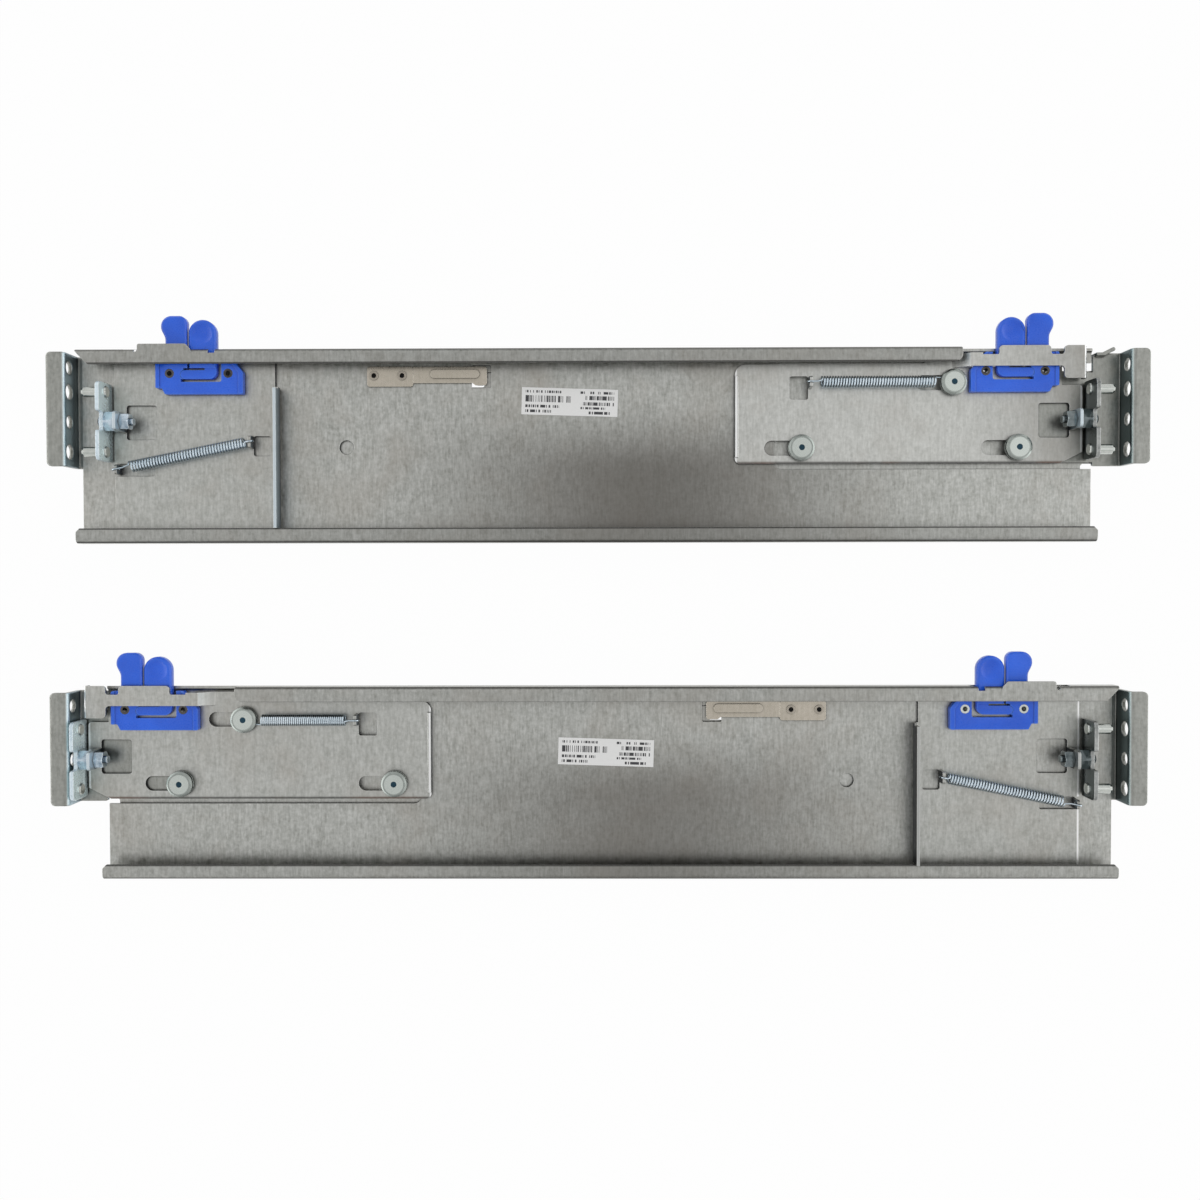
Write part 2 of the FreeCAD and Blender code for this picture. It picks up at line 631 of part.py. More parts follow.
def rear_carrier_plate():
    """Return the rear carrier: plate, upright inboard flange, side flange, tab and hook."""
    out = REAR_OUT
    half = REAR_HALF
    section = [(out, PLATE_Z), (REAR_IN, PLATE_Z, BEND_OUTER), (REAR_IN, PLATE_TOP + REAR_FLANGE_TALL),
               (REAR_IN - SHEET, PLATE_TOP + REAR_FLANGE_TALL), (REAR_IN - SHEET, PLATE_TOP, BEND_OUTER - SHEET),
               (out, PLATE_TOP)]
    body = bar_y(section, REAR_FLANGE_LOW, REAR_FLANGE_HIGH)
    sheet = plate([(out, -half, 3), (REAR_IN - BEND_OUTER, -half, 3), (REAR_IN - BEND_OUTER, REAR_FLANGE_LOW, 0),
                   (REAR_IN - BEND_OUTER, half, 3), (out, half, 3)], PLATE_Z, PLATE_TOP)
    skirt_top = LIP_Z - 3 * RUN_GAP
    skirt = box(out + SKIRT_START, REAR_IN - SKIRT_END, -half, -half + SHEET, PLATE_Z, skirt_top)
    tab = lanced_tab(PLATE_Z).mirror(vec(0, 0, 0), vec(1, 0, 0))
    hook = upright_hook(REAR_HOOK_X, REAR_HOOK_Y, PLATE_Z, 6.5)
    window = tab_window(PLATE_Z - 1, PLATE_TOP + 1).mirror(vec(0, 0, 0), vec(1, 0, 0))
    hook_window = rounded(REAR_HOOK_X + SHEET / 2, REAR_HOOK_X + HOOK_WINDOW, REAR_HOOK_Y - 7.3, REAR_HOOK_Y + 3.5, 1.2, PLATE_Z - 1, PLATE_TOP + 1)
    fixed_slot = rounded(out - 2, out + FIXED_SLOT, FIXED_HOOK_Y - 3.4, FIXED_HOOK_Y + 3.4, 1.2, PLATE_Z - 1, PLATE_TOP + 1)
    slant = plate([(REAR_IN - BEND_OUTER - 1, REAR_FLANGE_HIGH + 1), (REAR_IN + 1, REAR_FLANGE_HIGH + 1),
                   (REAR_IN + 1, REAR_FLANGE_HIGH - 1), (REAR_IN - BEND_OUTER - 1, REAR_FLANGE_HIGH - 1)],
                  PLATE_TOP + REAR_FLANGE_TALL - 5, PLATE_TOP + REAR_FLANGE_TALL + 1)
    tools = [window, hook_window, fixed_slot, slant]
    tools.extend(rivet_bores(REAR_LATCH_OUT, 1, PLATE_Z - 1, PLATE_TOP + 1))
    body = cut_all(body.fuse([sheet, skirt]), tools)
    return body.fuse([tab, hook]).removeSplitter()


def front_band():
    """Return the raised band over the front latch, with its ramp and folded end."""
    ramp = bar_y([(RAMP_START - 4, PLATE_Z), (RAMP_START, PLATE_Z, 2), (BAND_START, BAND_Z, 2),
                  (BAND_START + 6, BAND_Z), (BAND_START + 6, BAND_TOP), (BAND_START, BAND_TOP, 2),
                  (RAMP_START, PLATE_TOP, 2), (RAMP_START - 4, PLATE_TOP)], BAND_LOW, BAND_HIGH + 1)
    points = [
        (BAND_START + 5, BAND_LOW), (CORNER_START, BAND_LOW, 2), (CORNER_START, CORNER_LOW, 2),
        (FRONT_OUT, CORNER_LOW), (FRONT_OUT, COVER_HIGH), (CORNER_START, COVER_HIGH, 2),
        (CORNER_START, BAND_HIGH, 1.5), (COVER_END, BAND_HIGH, 1), (COVER_END, COVER_HIGH, 2),
        (COVER_START, COVER_HIGH, 2), (COVER_START, BAND_HIGH, 1), (BAND_START + 5, BAND_HIGH),
    ]
    band = plate(points, BAND_Z, BAND_TOP)
    fold = bar_y([(FRONT_OUT - 4, BAND_Z), (FRONT_OUT - SHEET, BAND_Z, 0.8), (FRONT_OUT - SHEET, BAND_Z - 3.4),
                  (FRONT_OUT, BAND_Z - 3.4), (FRONT_OUT, BAND_TOP, 2.0), (FRONT_OUT - 4, BAND_TOP)],
                 CORNER_LOW, COVER_HIGH)
    trim = box(FRONT_OUT - 4, FRONT_OUT + 1, CORNER_LOW - 1, COVER_HIGH + 1, BAND_Z - 5, BAND_TOP + 1)
    return ramp.fuse([band.cut(trim), fold])


def front_carrier_plate():
    """Return the front carrier: slotted plate, raised band, tab and spring hook."""
    shoulder = CORNER_LOW - 2.7
    points = [
        (FRONT_IN, FRONT_LOW, 3), (FRONT_OUT - 12, FRONT_LOW), (FRONT_OUT, FRONT_LOW + 6), (FRONT_OUT, shoulder, 2),
        (FRONT_OUT - 11, shoulder), (FRONT_OUT - 11, FRONT_HIGH - 1.5), (RAMP_START - 3, FRONT_HIGH - 1.5),
        (RAMP_START - 3, BAND_HIGH + 1), (RAMP_START - 10, BAND_HIGH + 1, 2),
        (RAMP_START - 16, FRONT_HIGH), (FRONT_IN, FRONT_HIGH, 6),
    ]
    body = plate(points, PLATE_Z, PLATE_TOP)
    tools = [tab_window(PLATE_Z - 1, PLATE_TOP + 1)]
    for x, y in SCREW_SPOTS:
        tools.append(slot(x - TRAVEL, x, y, SLOT_WIDE, PLATE_Z - 1, PLATE_TOP + 1))
    hook_back = FRONT_HOOK_X - SHEET / 2
    tools.append(rounded(hook_back - HOOK_WINDOW, hook_back, FRONT_HOOK_Y - 8.8, FRONT_HOOK_Y + 3.6, 1.2, PLATE_Z - 1, PLATE_TOP + 1))
    tools.extend(rivet_bores(FRONT_LATCH_OUT, -1, PLATE_Z - 1, PLATE_TOP + 1))
    body = cut_all(body, tools)
    hook = upright_hook(FRONT_HOOK_X, FRONT_HOOK_Y, PLATE_Z, 6.0)
    lip = bar_y([(FRONT_IN, PLATE_Z), (FRONT_IN + 3, PLATE_Z), (FRONT_IN + 3, PLATE_TOP),
                 (FRONT_IN + SHEET, PLATE_TOP, 0.8), (FRONT_IN + SHEET, PLATE_TOP + 1.8),
                 (FRONT_IN, PLATE_TOP + 1.8)], FRONT_LOW + 3.5, FRONT_HIGH - 6.5)
    return body.fuse([front_band(), lanced_tab(PLATE_Z), hook, lip]).removeSplitter()


def pin_bracket():
    """Return the upright plate that carries the two pins."""
    y = EAR_SCREW_Y
    half = BRACKET_NOTCH / 2
    floor = BRACKET_TOP - BRACKET_NOTCH_DEEP
    points = [
        (BRACKET_LOW, BRACKET_Z + RUN_GAP, 2), (BRACKET_HIGH, BRACKET_Z + RUN_GAP, 2),
        (BRACKET_HIGH, BRACKET_TOP, 3), (y + half, BRACKET_TOP, 1.5), (y + half, floor, 1.5),
        (y - half, floor, 1.5), (y - half, BRACKET_TOP, 1.5), (BRACKET_LOW, BRACKET_TOP, 3),
    ]
    body = bar_x(points, BRACKET_BACK, BRACKET_FACE)
    tools = [rod_x(BOLT_D / 2 + FIT, BRACKET_BACK - 1, BRACKET_FACE + 1, y, PIN_Z)]
    for pin_y in (UPPER_PIN_Y, LOWER_PIN_Y):
        tools.append(rod_x(PIN_SHANK_D / 2 + FIT, BRACKET_BACK - 1, BRACKET_FACE + 1, pin_y, PIN_Z))
    return cut_all(body, tools)


def pins():
    """Return the two locating pins, each turned in one piece and staked."""
    parts = []
    r = PIN_D / 2
    face = BRACKET_FACE
    back = BRACKET_BACK
    tip = face + PIN_LENGTH
    for y in (UPPER_PIN_Y, LOWER_PIN_Y):
        section = [
            (back - PIN_STAKE, 0), (back - PIN_STAKE, PIN_STAKE_D / 2 - 0.4), (back, PIN_STAKE_D / 2),
            (back, PIN_SHANK_D / 2), (face, PIN_SHANK_D / 2), (face, PIN_COLLAR_D / 2),
            (face + PIN_COLLAR, PIN_COLLAR_D / 2), (face + PIN_COLLAR, r), (tip - 1.6, r),
            (tip - 0.4, r - 0.9), (tip, r - 1.6), (tip, 0),
        ]
        corners = [vec(u, y, PIN_Z + v) for u, v in section]
        face_shape = Part.Face(Part.makePolygon(corners + [corners[0]]))
        parts.append(face_shape.revolve(vec(0, y, PIN_Z), vec(1, 0, 0), 360))
    return Part.makeCompound(parts)


def bracket_bolt():
    """Return the pan-head bolt with its spacer nut and lock nut."""
    y = EAR_SCREW_Y
    face = BRACKET_FACE
    tab_back = TAB_FACE - SHEET
    end = tab_back - LOCK_NUT - BOLT_END
    shank = rod_x(BOLT_D / 2, end, face, y, PIN_Z)
    head_r = BOLT_HEAD_D / 2
    section = [(face, 0), (face, head_r), (face + BOLT_HEAD * 0.5, head_r), (face + BOLT_HEAD, head_r - 1.0),
               (face + BOLT_HEAD, 0)]
    corners = [vec(u, y, PIN_Z + v) for u, v in section]
    head = Part.Face(Part.makePolygon(corners + [corners[0]])).revolve(vec(0, y, PIN_Z), vec(1, 0, 0), 360)
    recess = rod_x(0.9, face + BOLT_HEAD - 0.9, face + BOLT_HEAD + 1, y, PIN_Z)
    bolt = shank.fuse(head).cut(recess).removeSplitter()
    bore = rod_x(BOLT_D / 2 + FIT, end - 2, face, y, PIN_Z)
    spacer = hexagon(SPACER_NUT_AF, TAB_FACE, BRACKET_BACK, y, PIN_Z).cut(bore)
    lock = hexagon(LOCK_NUT_AF, tab_back - LOCK_NUT, tab_back, y, PIN_Z).cut(bore)
    return Part.makeCompound([bolt, spacer, lock])


# ---------------------------------------------------------------- latch
def outboard_tab(z0, z1):
    """Return the fixed tab of a latch: a lobed outboard edge, a straight inboard one and an eased rim."""
    left = PEANUT_MIDDLE - PEANUT_WIDE / 2
    right = PEANUT_MIDDLE + PEANUT_WIDE / 2
    waist = right - PEANUT_WAIST
    lobe = PEANUT_TOP - LOBE_TALL
    tab = plate([(waist, LATCH_HIGH - 2), (waist, lobe - LOBE_BLEND, 6), (left, lobe, 6), (left, PEANUT_TOP, 5.5),
                 (right, PEANUT_TOP, 4.2), (right, LATCH_HIGH - 2)], z0, z1)
    return eased(tab, z1, LATCH_HIGH)


def eased(body, top, low):
    """Chamfer the upper rim of a tab above a given height."""
    edges = []
    for edge in body.Edges:
        middle = edge.CenterOfMass
        if abs(middle.z - top) < 1e-6 and middle.y > low:
            edges.append(edge)
    return body.makeChamfer(TAB_EASE, edges)


def latch_body():
    """Return the latch body in its own frame, u inboard from its outboard edge."""
    z0 = PLATE_TOP
    z1 = LATCH_TOP
    low = LATCH_LOW
    high = LATCH_HIGH
    long = LATCH_LONG
    slant = CORNER_SLANT
    body = plate([(0, low + LATCH_STEP, 0.5), (LATCH_STEP, low + LATCH_STEP, 0.8), (LATCH_STEP + 1.6, low, 0.8),
                  (long, low, 0.8), (long, high - CORNER_DROP, 2), (long - slant, high, 1), (0, high, 1)], z0, z1)
    rim = RIM_WIDE
    pocket = plate([(rim, low - 1), (long - rim - 0.6, low - 1), (long - rim - 0.6, high - CORNER_DROP - 0.6, 1),
                    (long - slant - rim, high + 1), (rim, high + 1)], LATCH_FACE, z1 + 1)
    body = body.cut(pocket).fuse(outboard_tab(z0, z1))
    side = ARM_ROOT
    right = FINGER_MIDDLE + FINGER_WIDE / 2 + SLOT_SIDE
    left_gap = PEANUT_MIDDLE + PEANUT_WIDE / 2
    arm_r = (ARM_HIGH - ARM_LOW) / 2
    slots = plate([(side - 2.2, ARM_LOW - SLOT_DROP), (right, ARM_LOW - SLOT_DROP, 1.2), (right, PEANUT_TOP),
                   (left_gap, PEANUT_TOP), (left_gap, ARM_HIGH + SLOT_TOP), (side - 0.8, ARM_HIGH + SLOT_TOP),
                   (side - 0.8, ARM_HIGH), (side, ARM_HIGH), (side, ARM_LOW), (side - 2.2, ARM_LOW)], z0 - 1, z1 + 1)
    tools = [slots, rod(arm_r + KNUCKLE_GAP, side, ARM_LOW + arm_r, z0 - 1, z1 + 1)]
    for reach in (RIVET_NEAR, RIVET_FAR):
        tools.append(rod(RIVET_D / 2 + FIT, reach, RIVET_Y, z0 - 1, z1 + 1))
        tools.append(rod(RIVET_FLANGE_D / 2 + FIT, reach, RIVET_Y, LATCH_FACE - RIVET_FLANGE, z1 + 1))
    return cut_all(body, tools).removeSplitter()


def latch_finger():
    """Return the squeeze finger in the frame of its latch body."""
    z0 = PLATE_TOP
    z1 = LATCH_TOP
    left = FINGER_MIDDLE - FINGER_WIDE / 2
    right = FINGER_MIDDLE + FINGER_WIDE / 2
    arm_r = (ARM_HIGH - ARM_LOW) / 2
    stem_low = ARM_HIGH + SLOT_TOP
    stem_left = left + STEM_OFFSET
    arm = plate([(ARM_ROOT, ARM_LOW), (right, ARM_LOW, ARM_CORNER), (right, stem_low + 1), (stem_left, stem_low + 1),
                 (stem_left, ARM_HIGH), (ARM_ROOT, ARM_HIGH)], z0, LATCH_FACE)
    knuckle = rod(arm_r, ARM_ROOT, ARM_LOW + arm_r, z0, LATCH_FACE)
    head_r = FINGER_WIDE / 2 - 0.01
    tab = plate([(left, stem_low), (right, stem_low), (right, FINGER_TOP, head_r), (left, FINGER_TOP, head_r)], z0, z1)
    tab = eased(tab, z1, LATCH_HIGH)
    sphere_r = 11.0
    depth = sphere_r - math.sqrt(sphere_r ** 2 - FINGER_DISH_R ** 2)
    dish = Part.makeSphere(sphere_r, vec(FINGER_MIDDLE, FINGER_TOP - head_r, z1 + sphere_r - depth))
    return arm.fuse([knuckle, tab]).cut(dish).removeSplitter()


def latch_rivets():
    """Return the two eyelets of a latch in the frame of the latch body."""
    rivets = []
    for reach in (RIVET_NEAR, RIVET_FAR):
        rivets.append(eyelet(reach, RIVET_Y, PLATE_Z, LATCH_FACE))
    return Part.makeCompound(rivets)


# ---------------------------------------------------------------- fasteners and springs
def shoulder_screws():
    """Return the three shoulder screws that guide the front carrier."""
    screws = []
    for x, y in SCREW_SPOTS:
        z = PLATE_TOP + RUN_GAP
        r = SCREW_HEAD_D / 2
        cap_z = z + SCREW_WASHER + SCREW_NECK
        top = cap_z + SCREW_CAP
        section = [
            (0, BASE_Z), (SCREW_STUD_D / 2, BASE_Z), (SCREW_STUD_D / 2, BASE_TOP),
            (SCREW_SHOULDER_D / 2, BASE_TOP), (SCREW_SHOULDER_D / 2, z), (r, z), (r, z + SCREW_WASHER),
            (SCREW_NECK_D / 2, z + SCREW_WASHER), (SCREW_NECK_D / 2, cap_z), (r, cap_z),
            (r, top - 0.6), (r - 1.0, top), (SCREW_RECESS_D / 2, top), (SCREW_RECESS_D / 2 - 0.4, top - 1.0),
            (0, top - 1.0),
        ]
        corners = [vec(x + u, y, v) for u, v in section]
        face = Part.Face(Part.makePolygon(corners + [corners[0]]))
        screws.append(face.revolve(vec(x, y, 0), vec(0, 0, 1), 360))
    return Part.makeCompound(screws)


def coil(start, end):
    """Return a closed tube with rounded ends that stands for a wound coil."""
    line = end - start
    length = line.Length
    tube = Part.makeCylinder(SPRING_R, length, start, line)
    bore = Part.makeCylinder(SPRING_R - 2 * WIRE_R, length + 2, start - line.normalize(), line)
    return tube.cut(bore)


def link(start, end):
    """Return a straight piece of spring wire."""
    line = end - start
    return Part.makeCylinder(WIRE_R, line.Length, start, line)


def ring_at(centre, axis, radius):
    """Return a closed ring of spring wire, eight-sided in section."""
    along = axis.normalize()
    helper = vec(1, 0, 0) if abs(along.x) < 0.9 else vec(0, 1, 0)
    outward = along.cross(helper).normalize()
    corners = []
    for index in range(8):
        angle = math.radians(45 * index + 22.5)
        corners.append(centre + outward * (radius + WIRE_R * math.cos(angle)) + along * (WIRE_R * math.sin(angle)))
    face = Part.Face(Part.makePolygon(corners + [corners[0]]))
    return face.revolve(centre, along, 360)


def spring(hook_a, hook_b, ring_a, ring_b):
    """Return a drawn spring between two hook points with given end rings."""
    line = (hook_b - hook_a).normalize()
    start = hook_a + line * 5.5
    end = hook_b - line * ring_b[1]
    across = vec(0, 0, 1)
    body = coil(start, end)
    edge = across * (SPRING_R - WIRE_R)
    first = link(start + edge, ring_a[0] + line * HOOK_RING)
    rise = ring_b[0].z - hook_b.z
    if rise < 0:
        aside = across.cross(line) * math.sqrt((SPRING_R - WIRE_R) ** 2 - rise ** 2)
        reach = math.sqrt(ring_b[2] ** 2 - aside.Length ** 2)
        last = link(end + across * rise - aside, ring_b[0] - line * reach - aside)
    else:
        last = link(end + edge, ring_b[0] - line * ring_b[2])
    return body.fuse([ring_at(ring_a[0], ring_a[1], HOOK_RING), ring_at(ring_b[0], ring_b[3], ring_b[2]), first, last])


def rear_spring():
    """Return the rear spring from the fixed hook to the hook of the rear carrier."""
    rise = SPRING_Z - 0.2 + HOOK_RING
    hook_a = vec(FIXED_HOOK_X, FIXED_HOOK_Y, SPRING_Z)
    hook_b = vec(REAR_HOOK_X, REAR_HOOK_Y, SPRING_Z)
    line = (hook_b - hook_a).normalize()
    side = vec(0, 0, 1).cross(line)
    ring_a = (vec(FIXED_HOOK_X, FIXED_HOOK_Y, rise), side)
    ring_b = (vec(REAR_HOOK_X, REAR_HOOK_Y, rise), 5.5, HOOK_RING, side)
    return spring(hook_a, hook_b, ring_a, ring_b)


def front_spring(shift):
    """Return the front spring from the carrier hook to the neck of the upper screw."""
    screw_x, screw_y = SCREW_SPOTS[2]
    hook_x = FRONT_HOOK_X + shift
    neck_z = PLATE_TOP + RUN_GAP + SCREW_WASHER + SCREW_NECK / 2
    hook_a = vec(hook_x, FRONT_HOOK_Y, SPRING_Z)
    hook_b = vec(screw_x, screw_y, SPRING_Z)
    ring_a = (vec(hook_x, FRONT_HOOK_Y, SPRING_Z - 0.2 + HOOK_RING), vec(0, 1, 0))
    loop = SCREW_NECK_D / 2 + WIRE_R + 0.1
    ring_b = (vec(screw_x, screw_y, neck_z), 10.5, loop, vec(0, 0, 1))
    return spring(hook_a, hook_b, ring_a, ring_b)


# ---------------------------------------------------------------- base and slide
def slide_base():
    """Return the flat base that carries the front ear, the screws and the slide."""
    front = CHANNEL_FRONT - 5
    body = plate([(BASE_REAR, BASE_LOW, 6), (front, BASE_LOW, 6), (front, EAR_LOW_Y + 1.5, 2),
                  (EAR_HALF_SPAN - 4, EAR_LOW_Y + 1.5, 2), (EAR_HALF_SPAN - 4, BASE_HIGH, 3),
                  (BASE_REAR, BASE_HIGH, 6)], BASE_Z, BASE_TOP)
    tools = []
    for x, y in SCREW_SPOTS:
        tools.append(rod(SCREW_STUD_D / 2 + FIT, x, y, BASE_Z - 1, BASE_TOP + 1))
    width = TOOTH_WIDE + 2.0
    middle = TOOTH_LOW + TOOTH_WIDE / 2
    front = TOOTH_X + TOOTH_LONG / 2 + 0.7
    rear = TOOTH_X - TOOTH_LONG / 2 - EXTENSION - 0.7
    tools.append(rounded(rear, front, middle - width / 2, middle + width / 2, 1.0, BASE_Z - 1, BASE_TOP + 1))
    return cut_all(body, tools)


def member(half, web_low, web_high, reach, opens_down):
    """Return a slide member: a web with two side walls, each grooved for balls."""
    t = SLIDE_SHEET
    dip = RACE_DIP
    if opens_down:
        edge = web_low - reach
        mid = (edge + web_low) / 2
        points = [
            (-half, edge), (-half, mid - 2.2), (-half - dip, mid), (-half, mid + 2.2),
            (-half, web_high, t), (half, web_high, t), (half, mid + 2.2), (half + dip, mid), (half, mid - 2.2),
            (half, edge), (half - t, edge), (half - t, mid - 2.2), (half - t + dip, mid), (half - t, mid + 2.2),
            (half - t, web_low), (-half + t, web_low), (-half + t, mid + 2.2), (-half + t - dip, mid),
            (-half + t, mid - 2.2), (-half + t, edge),
        ]
    else:
        edge = web_high + reach
        mid = (edge + web_high) / 2
        points = [
            (-half, edge), (-half, mid + 2.2), (-half + dip, mid), (-half, mid - 2.2), (-half, web_low, t),
            (half, web_low, t), (half, mid - 2.2), (half - dip, mid), (half, mid + 2.2), (half, edge),
            (half - t, edge), (half - t, mid + 2.2), (half - t - dip, mid), (half - t, mid - 2.2),
            (half - t, web_high), (-half + t, web_high), (-half + t, mid - 2.2), (-half + t + dip, mid),
            (-half + t, mid + 2.2), (-half + t, edge),
        ]
    return bar_x(points, SLIDE_REAR, SLIDE_FRONT)


def slide_outer():
    """Return the outer slide member, fixed under the base."""
    return member(OUTER_HALF, BASE_Z - SLIDE_SHEET, BASE_Z, 8.6, True)


def slide_middle():
    """Return the middle slide member."""
    high = BASE_Z - SLIDE_SHEET - 0.8
    body = member(MIDDLE_HALF, high - SLIDE_SHEET, high, 7.4, True)
    tools = []
    for x in (-200.0, 0.0, 200.0):
        tools.append(slot(x - 12, x + 12, 0, 9, high - 3, high + 1))
    return cut_all(body, tools)


def slide_inner():
    """Return the inner slide member with drop-in slots for the server's nails."""
    body = member(INNER_HALF, 0, SLIDE_SHEET, 6.6, False)
    tools = []
    for x in NAIL_SPOTS:
        tools.append(rod(NAIL_HEAD_D / 2, x, 0, -1, SLIDE_SHEET + 1))
        tools.append(slot(x, x + NAIL_SLOT, 0, NAIL_SHANK_D, -1, SLIDE_SHEET + 1))
    return cut_all(body, tools)


def ball_at(radius, x, y, z):
    """Return a ball as a closed solid with flat facets."""
    rings = []
    for row in range(1, BALL_ROWS):
        tilt = math.pi * row / BALL_ROWS
        ring = []
        for column in range(BALL_COLUMNS):
            turn = math.tau * column / BALL_COLUMNS
            flat = radius * math.sin(tilt)
            ring.append(vec(x + flat * math.cos(turn), y + flat * math.sin(turn), z + radius * math.cos(tilt)))
        rings.append(ring)
    top = vec(x, y, z + radius)
    bottom = vec(x, y, z - radius)
    faces = []
    for column in range(BALL_COLUMNS):
        after = (column + 1) % BALL_COLUMNS
        corners = [[top, rings[0][column], rings[0][after]], [bottom, rings[-1][after], rings[-1][column]]]
        for upper, lower in zip(rings, rings[1:]):
            corners.append([upper[column], lower[column], lower[after], upper[after]])
        for spots in corners:
            faces.append(Part.Face(Part.makePolygon(spots + [spots[0]])))
    return Part.makeSolid(Part.makeShell(faces))


def ball_cage(outer_wall, inner_wall, z):
    """Return a cage: two strips joined by end bridges, with balls held in their pockets."""
    gap = outer_wall - inner_wall
    ball_r = gap / 2 - BALL_CLEAR
    y = (outer_wall + inner_wall) / 2
    parts = []
    step = (CAGE_LONG - 12) / (BALLS_PER_SIDE - 1)
    for side in (-1, 1):
        strip = box(-CAGE_LONG / 2, CAGE_LONG / 2, side * y - CAGE_SHEET / 2, side * y + CAGE_SHEET / 2,
                    z - 2.6, z + 2.6)
        for index in range(BALLS_PER_SIDE):
            x = -CAGE_LONG / 2 + 6 + index * step
            pocket = Part.makeCylinder(ball_r + FIT, 2 * CAGE_SHEET, vec(x, side * y - CAGE_SHEET, z), vec(0, 1, 0))
            strip = strip.cut(pocket)
            parts.append(ball_at(ball_r, x, side * y, z))
        parts.append(strip)
    return Part.makeCompound(parts)


def outer_ball_cage():
    """Return the cage that runs between the outer and the middle member."""
    edge = BASE_Z - SLIDE_SHEET
    mid = edge - 8.6 / 2
    return ball_cage(OUTER_HALF - SLIDE_SHEET + RACE_SHIFT, MIDDLE_HALF + RACE_SHIFT, mid)


def inner_ball_cage():
    """Return the cage that runs between the middle and the inner member."""
    mid = SLIDE_SHEET + 6.6 / 2
    return ball_cage(MIDDLE_HALF - SLIDE_SHEET, INNER_HALF, mid)


# ---------------------------------------------------------------- assembly
def on_latch(shape, latch_out, rear):
    """Place a latch piece: rear latches run towards +X, front ones towards -X."""
    if not rear:
        shape = shape.mirror(vec(0, 0, 0), vec(1, 0, 0))
    return shape.translated(vec(latch_out, 0, 0))


def flipped(shape):
    """Mirror a shape in X."""
    return shape.mirror(vec(0, 0, 0), vec(1, 0, 0))


def build_rail(front_shift):
    """Return the named shapes of a left-hand rail with its front carrier shifted."""
    ahead = vec(front_shift, 0, 0)
    rail = {}
    rail["rail_channel"] = rail_channel()
    rail["guide_tracks"] = guide_tracks()
    rail["rear_ear"] = rear_ear()
    rail["leaf_mount"] = leaf_mount()
    rail["leaf_tongue"] = leaf_tongue()
    rail["leaf_rivets"] = leaf_rivets()
    rail["rear_carrier_plate"] = rear_carrier_plate()
    rail["rear_pin_bracket"] = flipped(pin_bracket())
    rail["rear_pins"] = flipped(pins())
    rail["rear_bracket_bolt"] = flipped(bracket_bolt())
    rail["rear_latch_body"] = on_latch(latch_body(), REAR_LATCH_OUT, True)
    rail["rear_latch_finger"] = on_latch(latch_finger(), REAR_LATCH_OUT, True)
    rail["rear_latch_rivets"] = on_latch(latch_rivets(), REAR_LATCH_OUT, True)
    rail["rear_spring"] = rear_spring()
    rail["slide_base"] = slide_base()
    rail["front_ear"] = front_ear()
    rail["front_carrier_plate"] = front_carrier_plate().translated(ahead)
    rail["front_pin_bracket"] = pin_bracket().translated(ahead)
    rail["front_pins"] = pins().translated(ahead)
    rail["front_bracket_bolt"] = bracket_bolt().translated(ahead)
    rail["front_latch_body"] = on_latch(latch_body(), FRONT_LATCH_OUT, False).translated(ahead)
    rail["front_latch_finger"] = on_latch(latch_finger(), FRONT_LATCH_OUT, False).translated(ahead)
    rail["front_latch_rivets"] = on_latch(latch_rivets(), FRONT_LATCH_OUT, False).translated(ahead)
    rail["front_spring"] = front_spring(front_shift)
    rail["shoulder_screws"] = shoulder_screws()
    rail["slide_outer"] = slide_outer()
    rail["slide_middle"] = slide_middle()
    rail["slide_inner"] = slide_inner()
    rail["outer_ball_cage"] = outer_ball_cage()
    rail["inner_ball_cage"] = inner_ball_cage()
    return rail


def build_pair():
    """Return the named shapes of both rails in their places."""
    pair = {}
    for name, shape in build_rail(0).items():
        pair["left_" + name] = shape.translated(vec(0, RAIL_PITCH / 2 + PAIR_SHIFT, 0))
    for name, shape in build_rail(TRAVEL).items():
        pair["right_" + name] = flipped(shape).translated(vec(0, PAIR_SHIFT - RAIL_PITCH / 2, 0))
    return pair


def main():
    """Build every node and write one STEP file for each."""
    os.makedirs("parts", exist_ok=True)
    for name, shape in build_pair().items():
        shape.exportStep("parts/" + name + ".step")


main()
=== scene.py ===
"""Sliding server rail pair: finishes, wound springs, latches, labels, screw caps, lamps and camera.

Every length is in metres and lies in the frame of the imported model.  The two
rails are mirror images in X, so each class works in the frame of a left-hand
rail and hands its points to RailFrame, which places them on either rail.
"""

from __future__ import annotations

import json
import logging
import math
from dataclasses import dataclass, replace
from enum import Enum

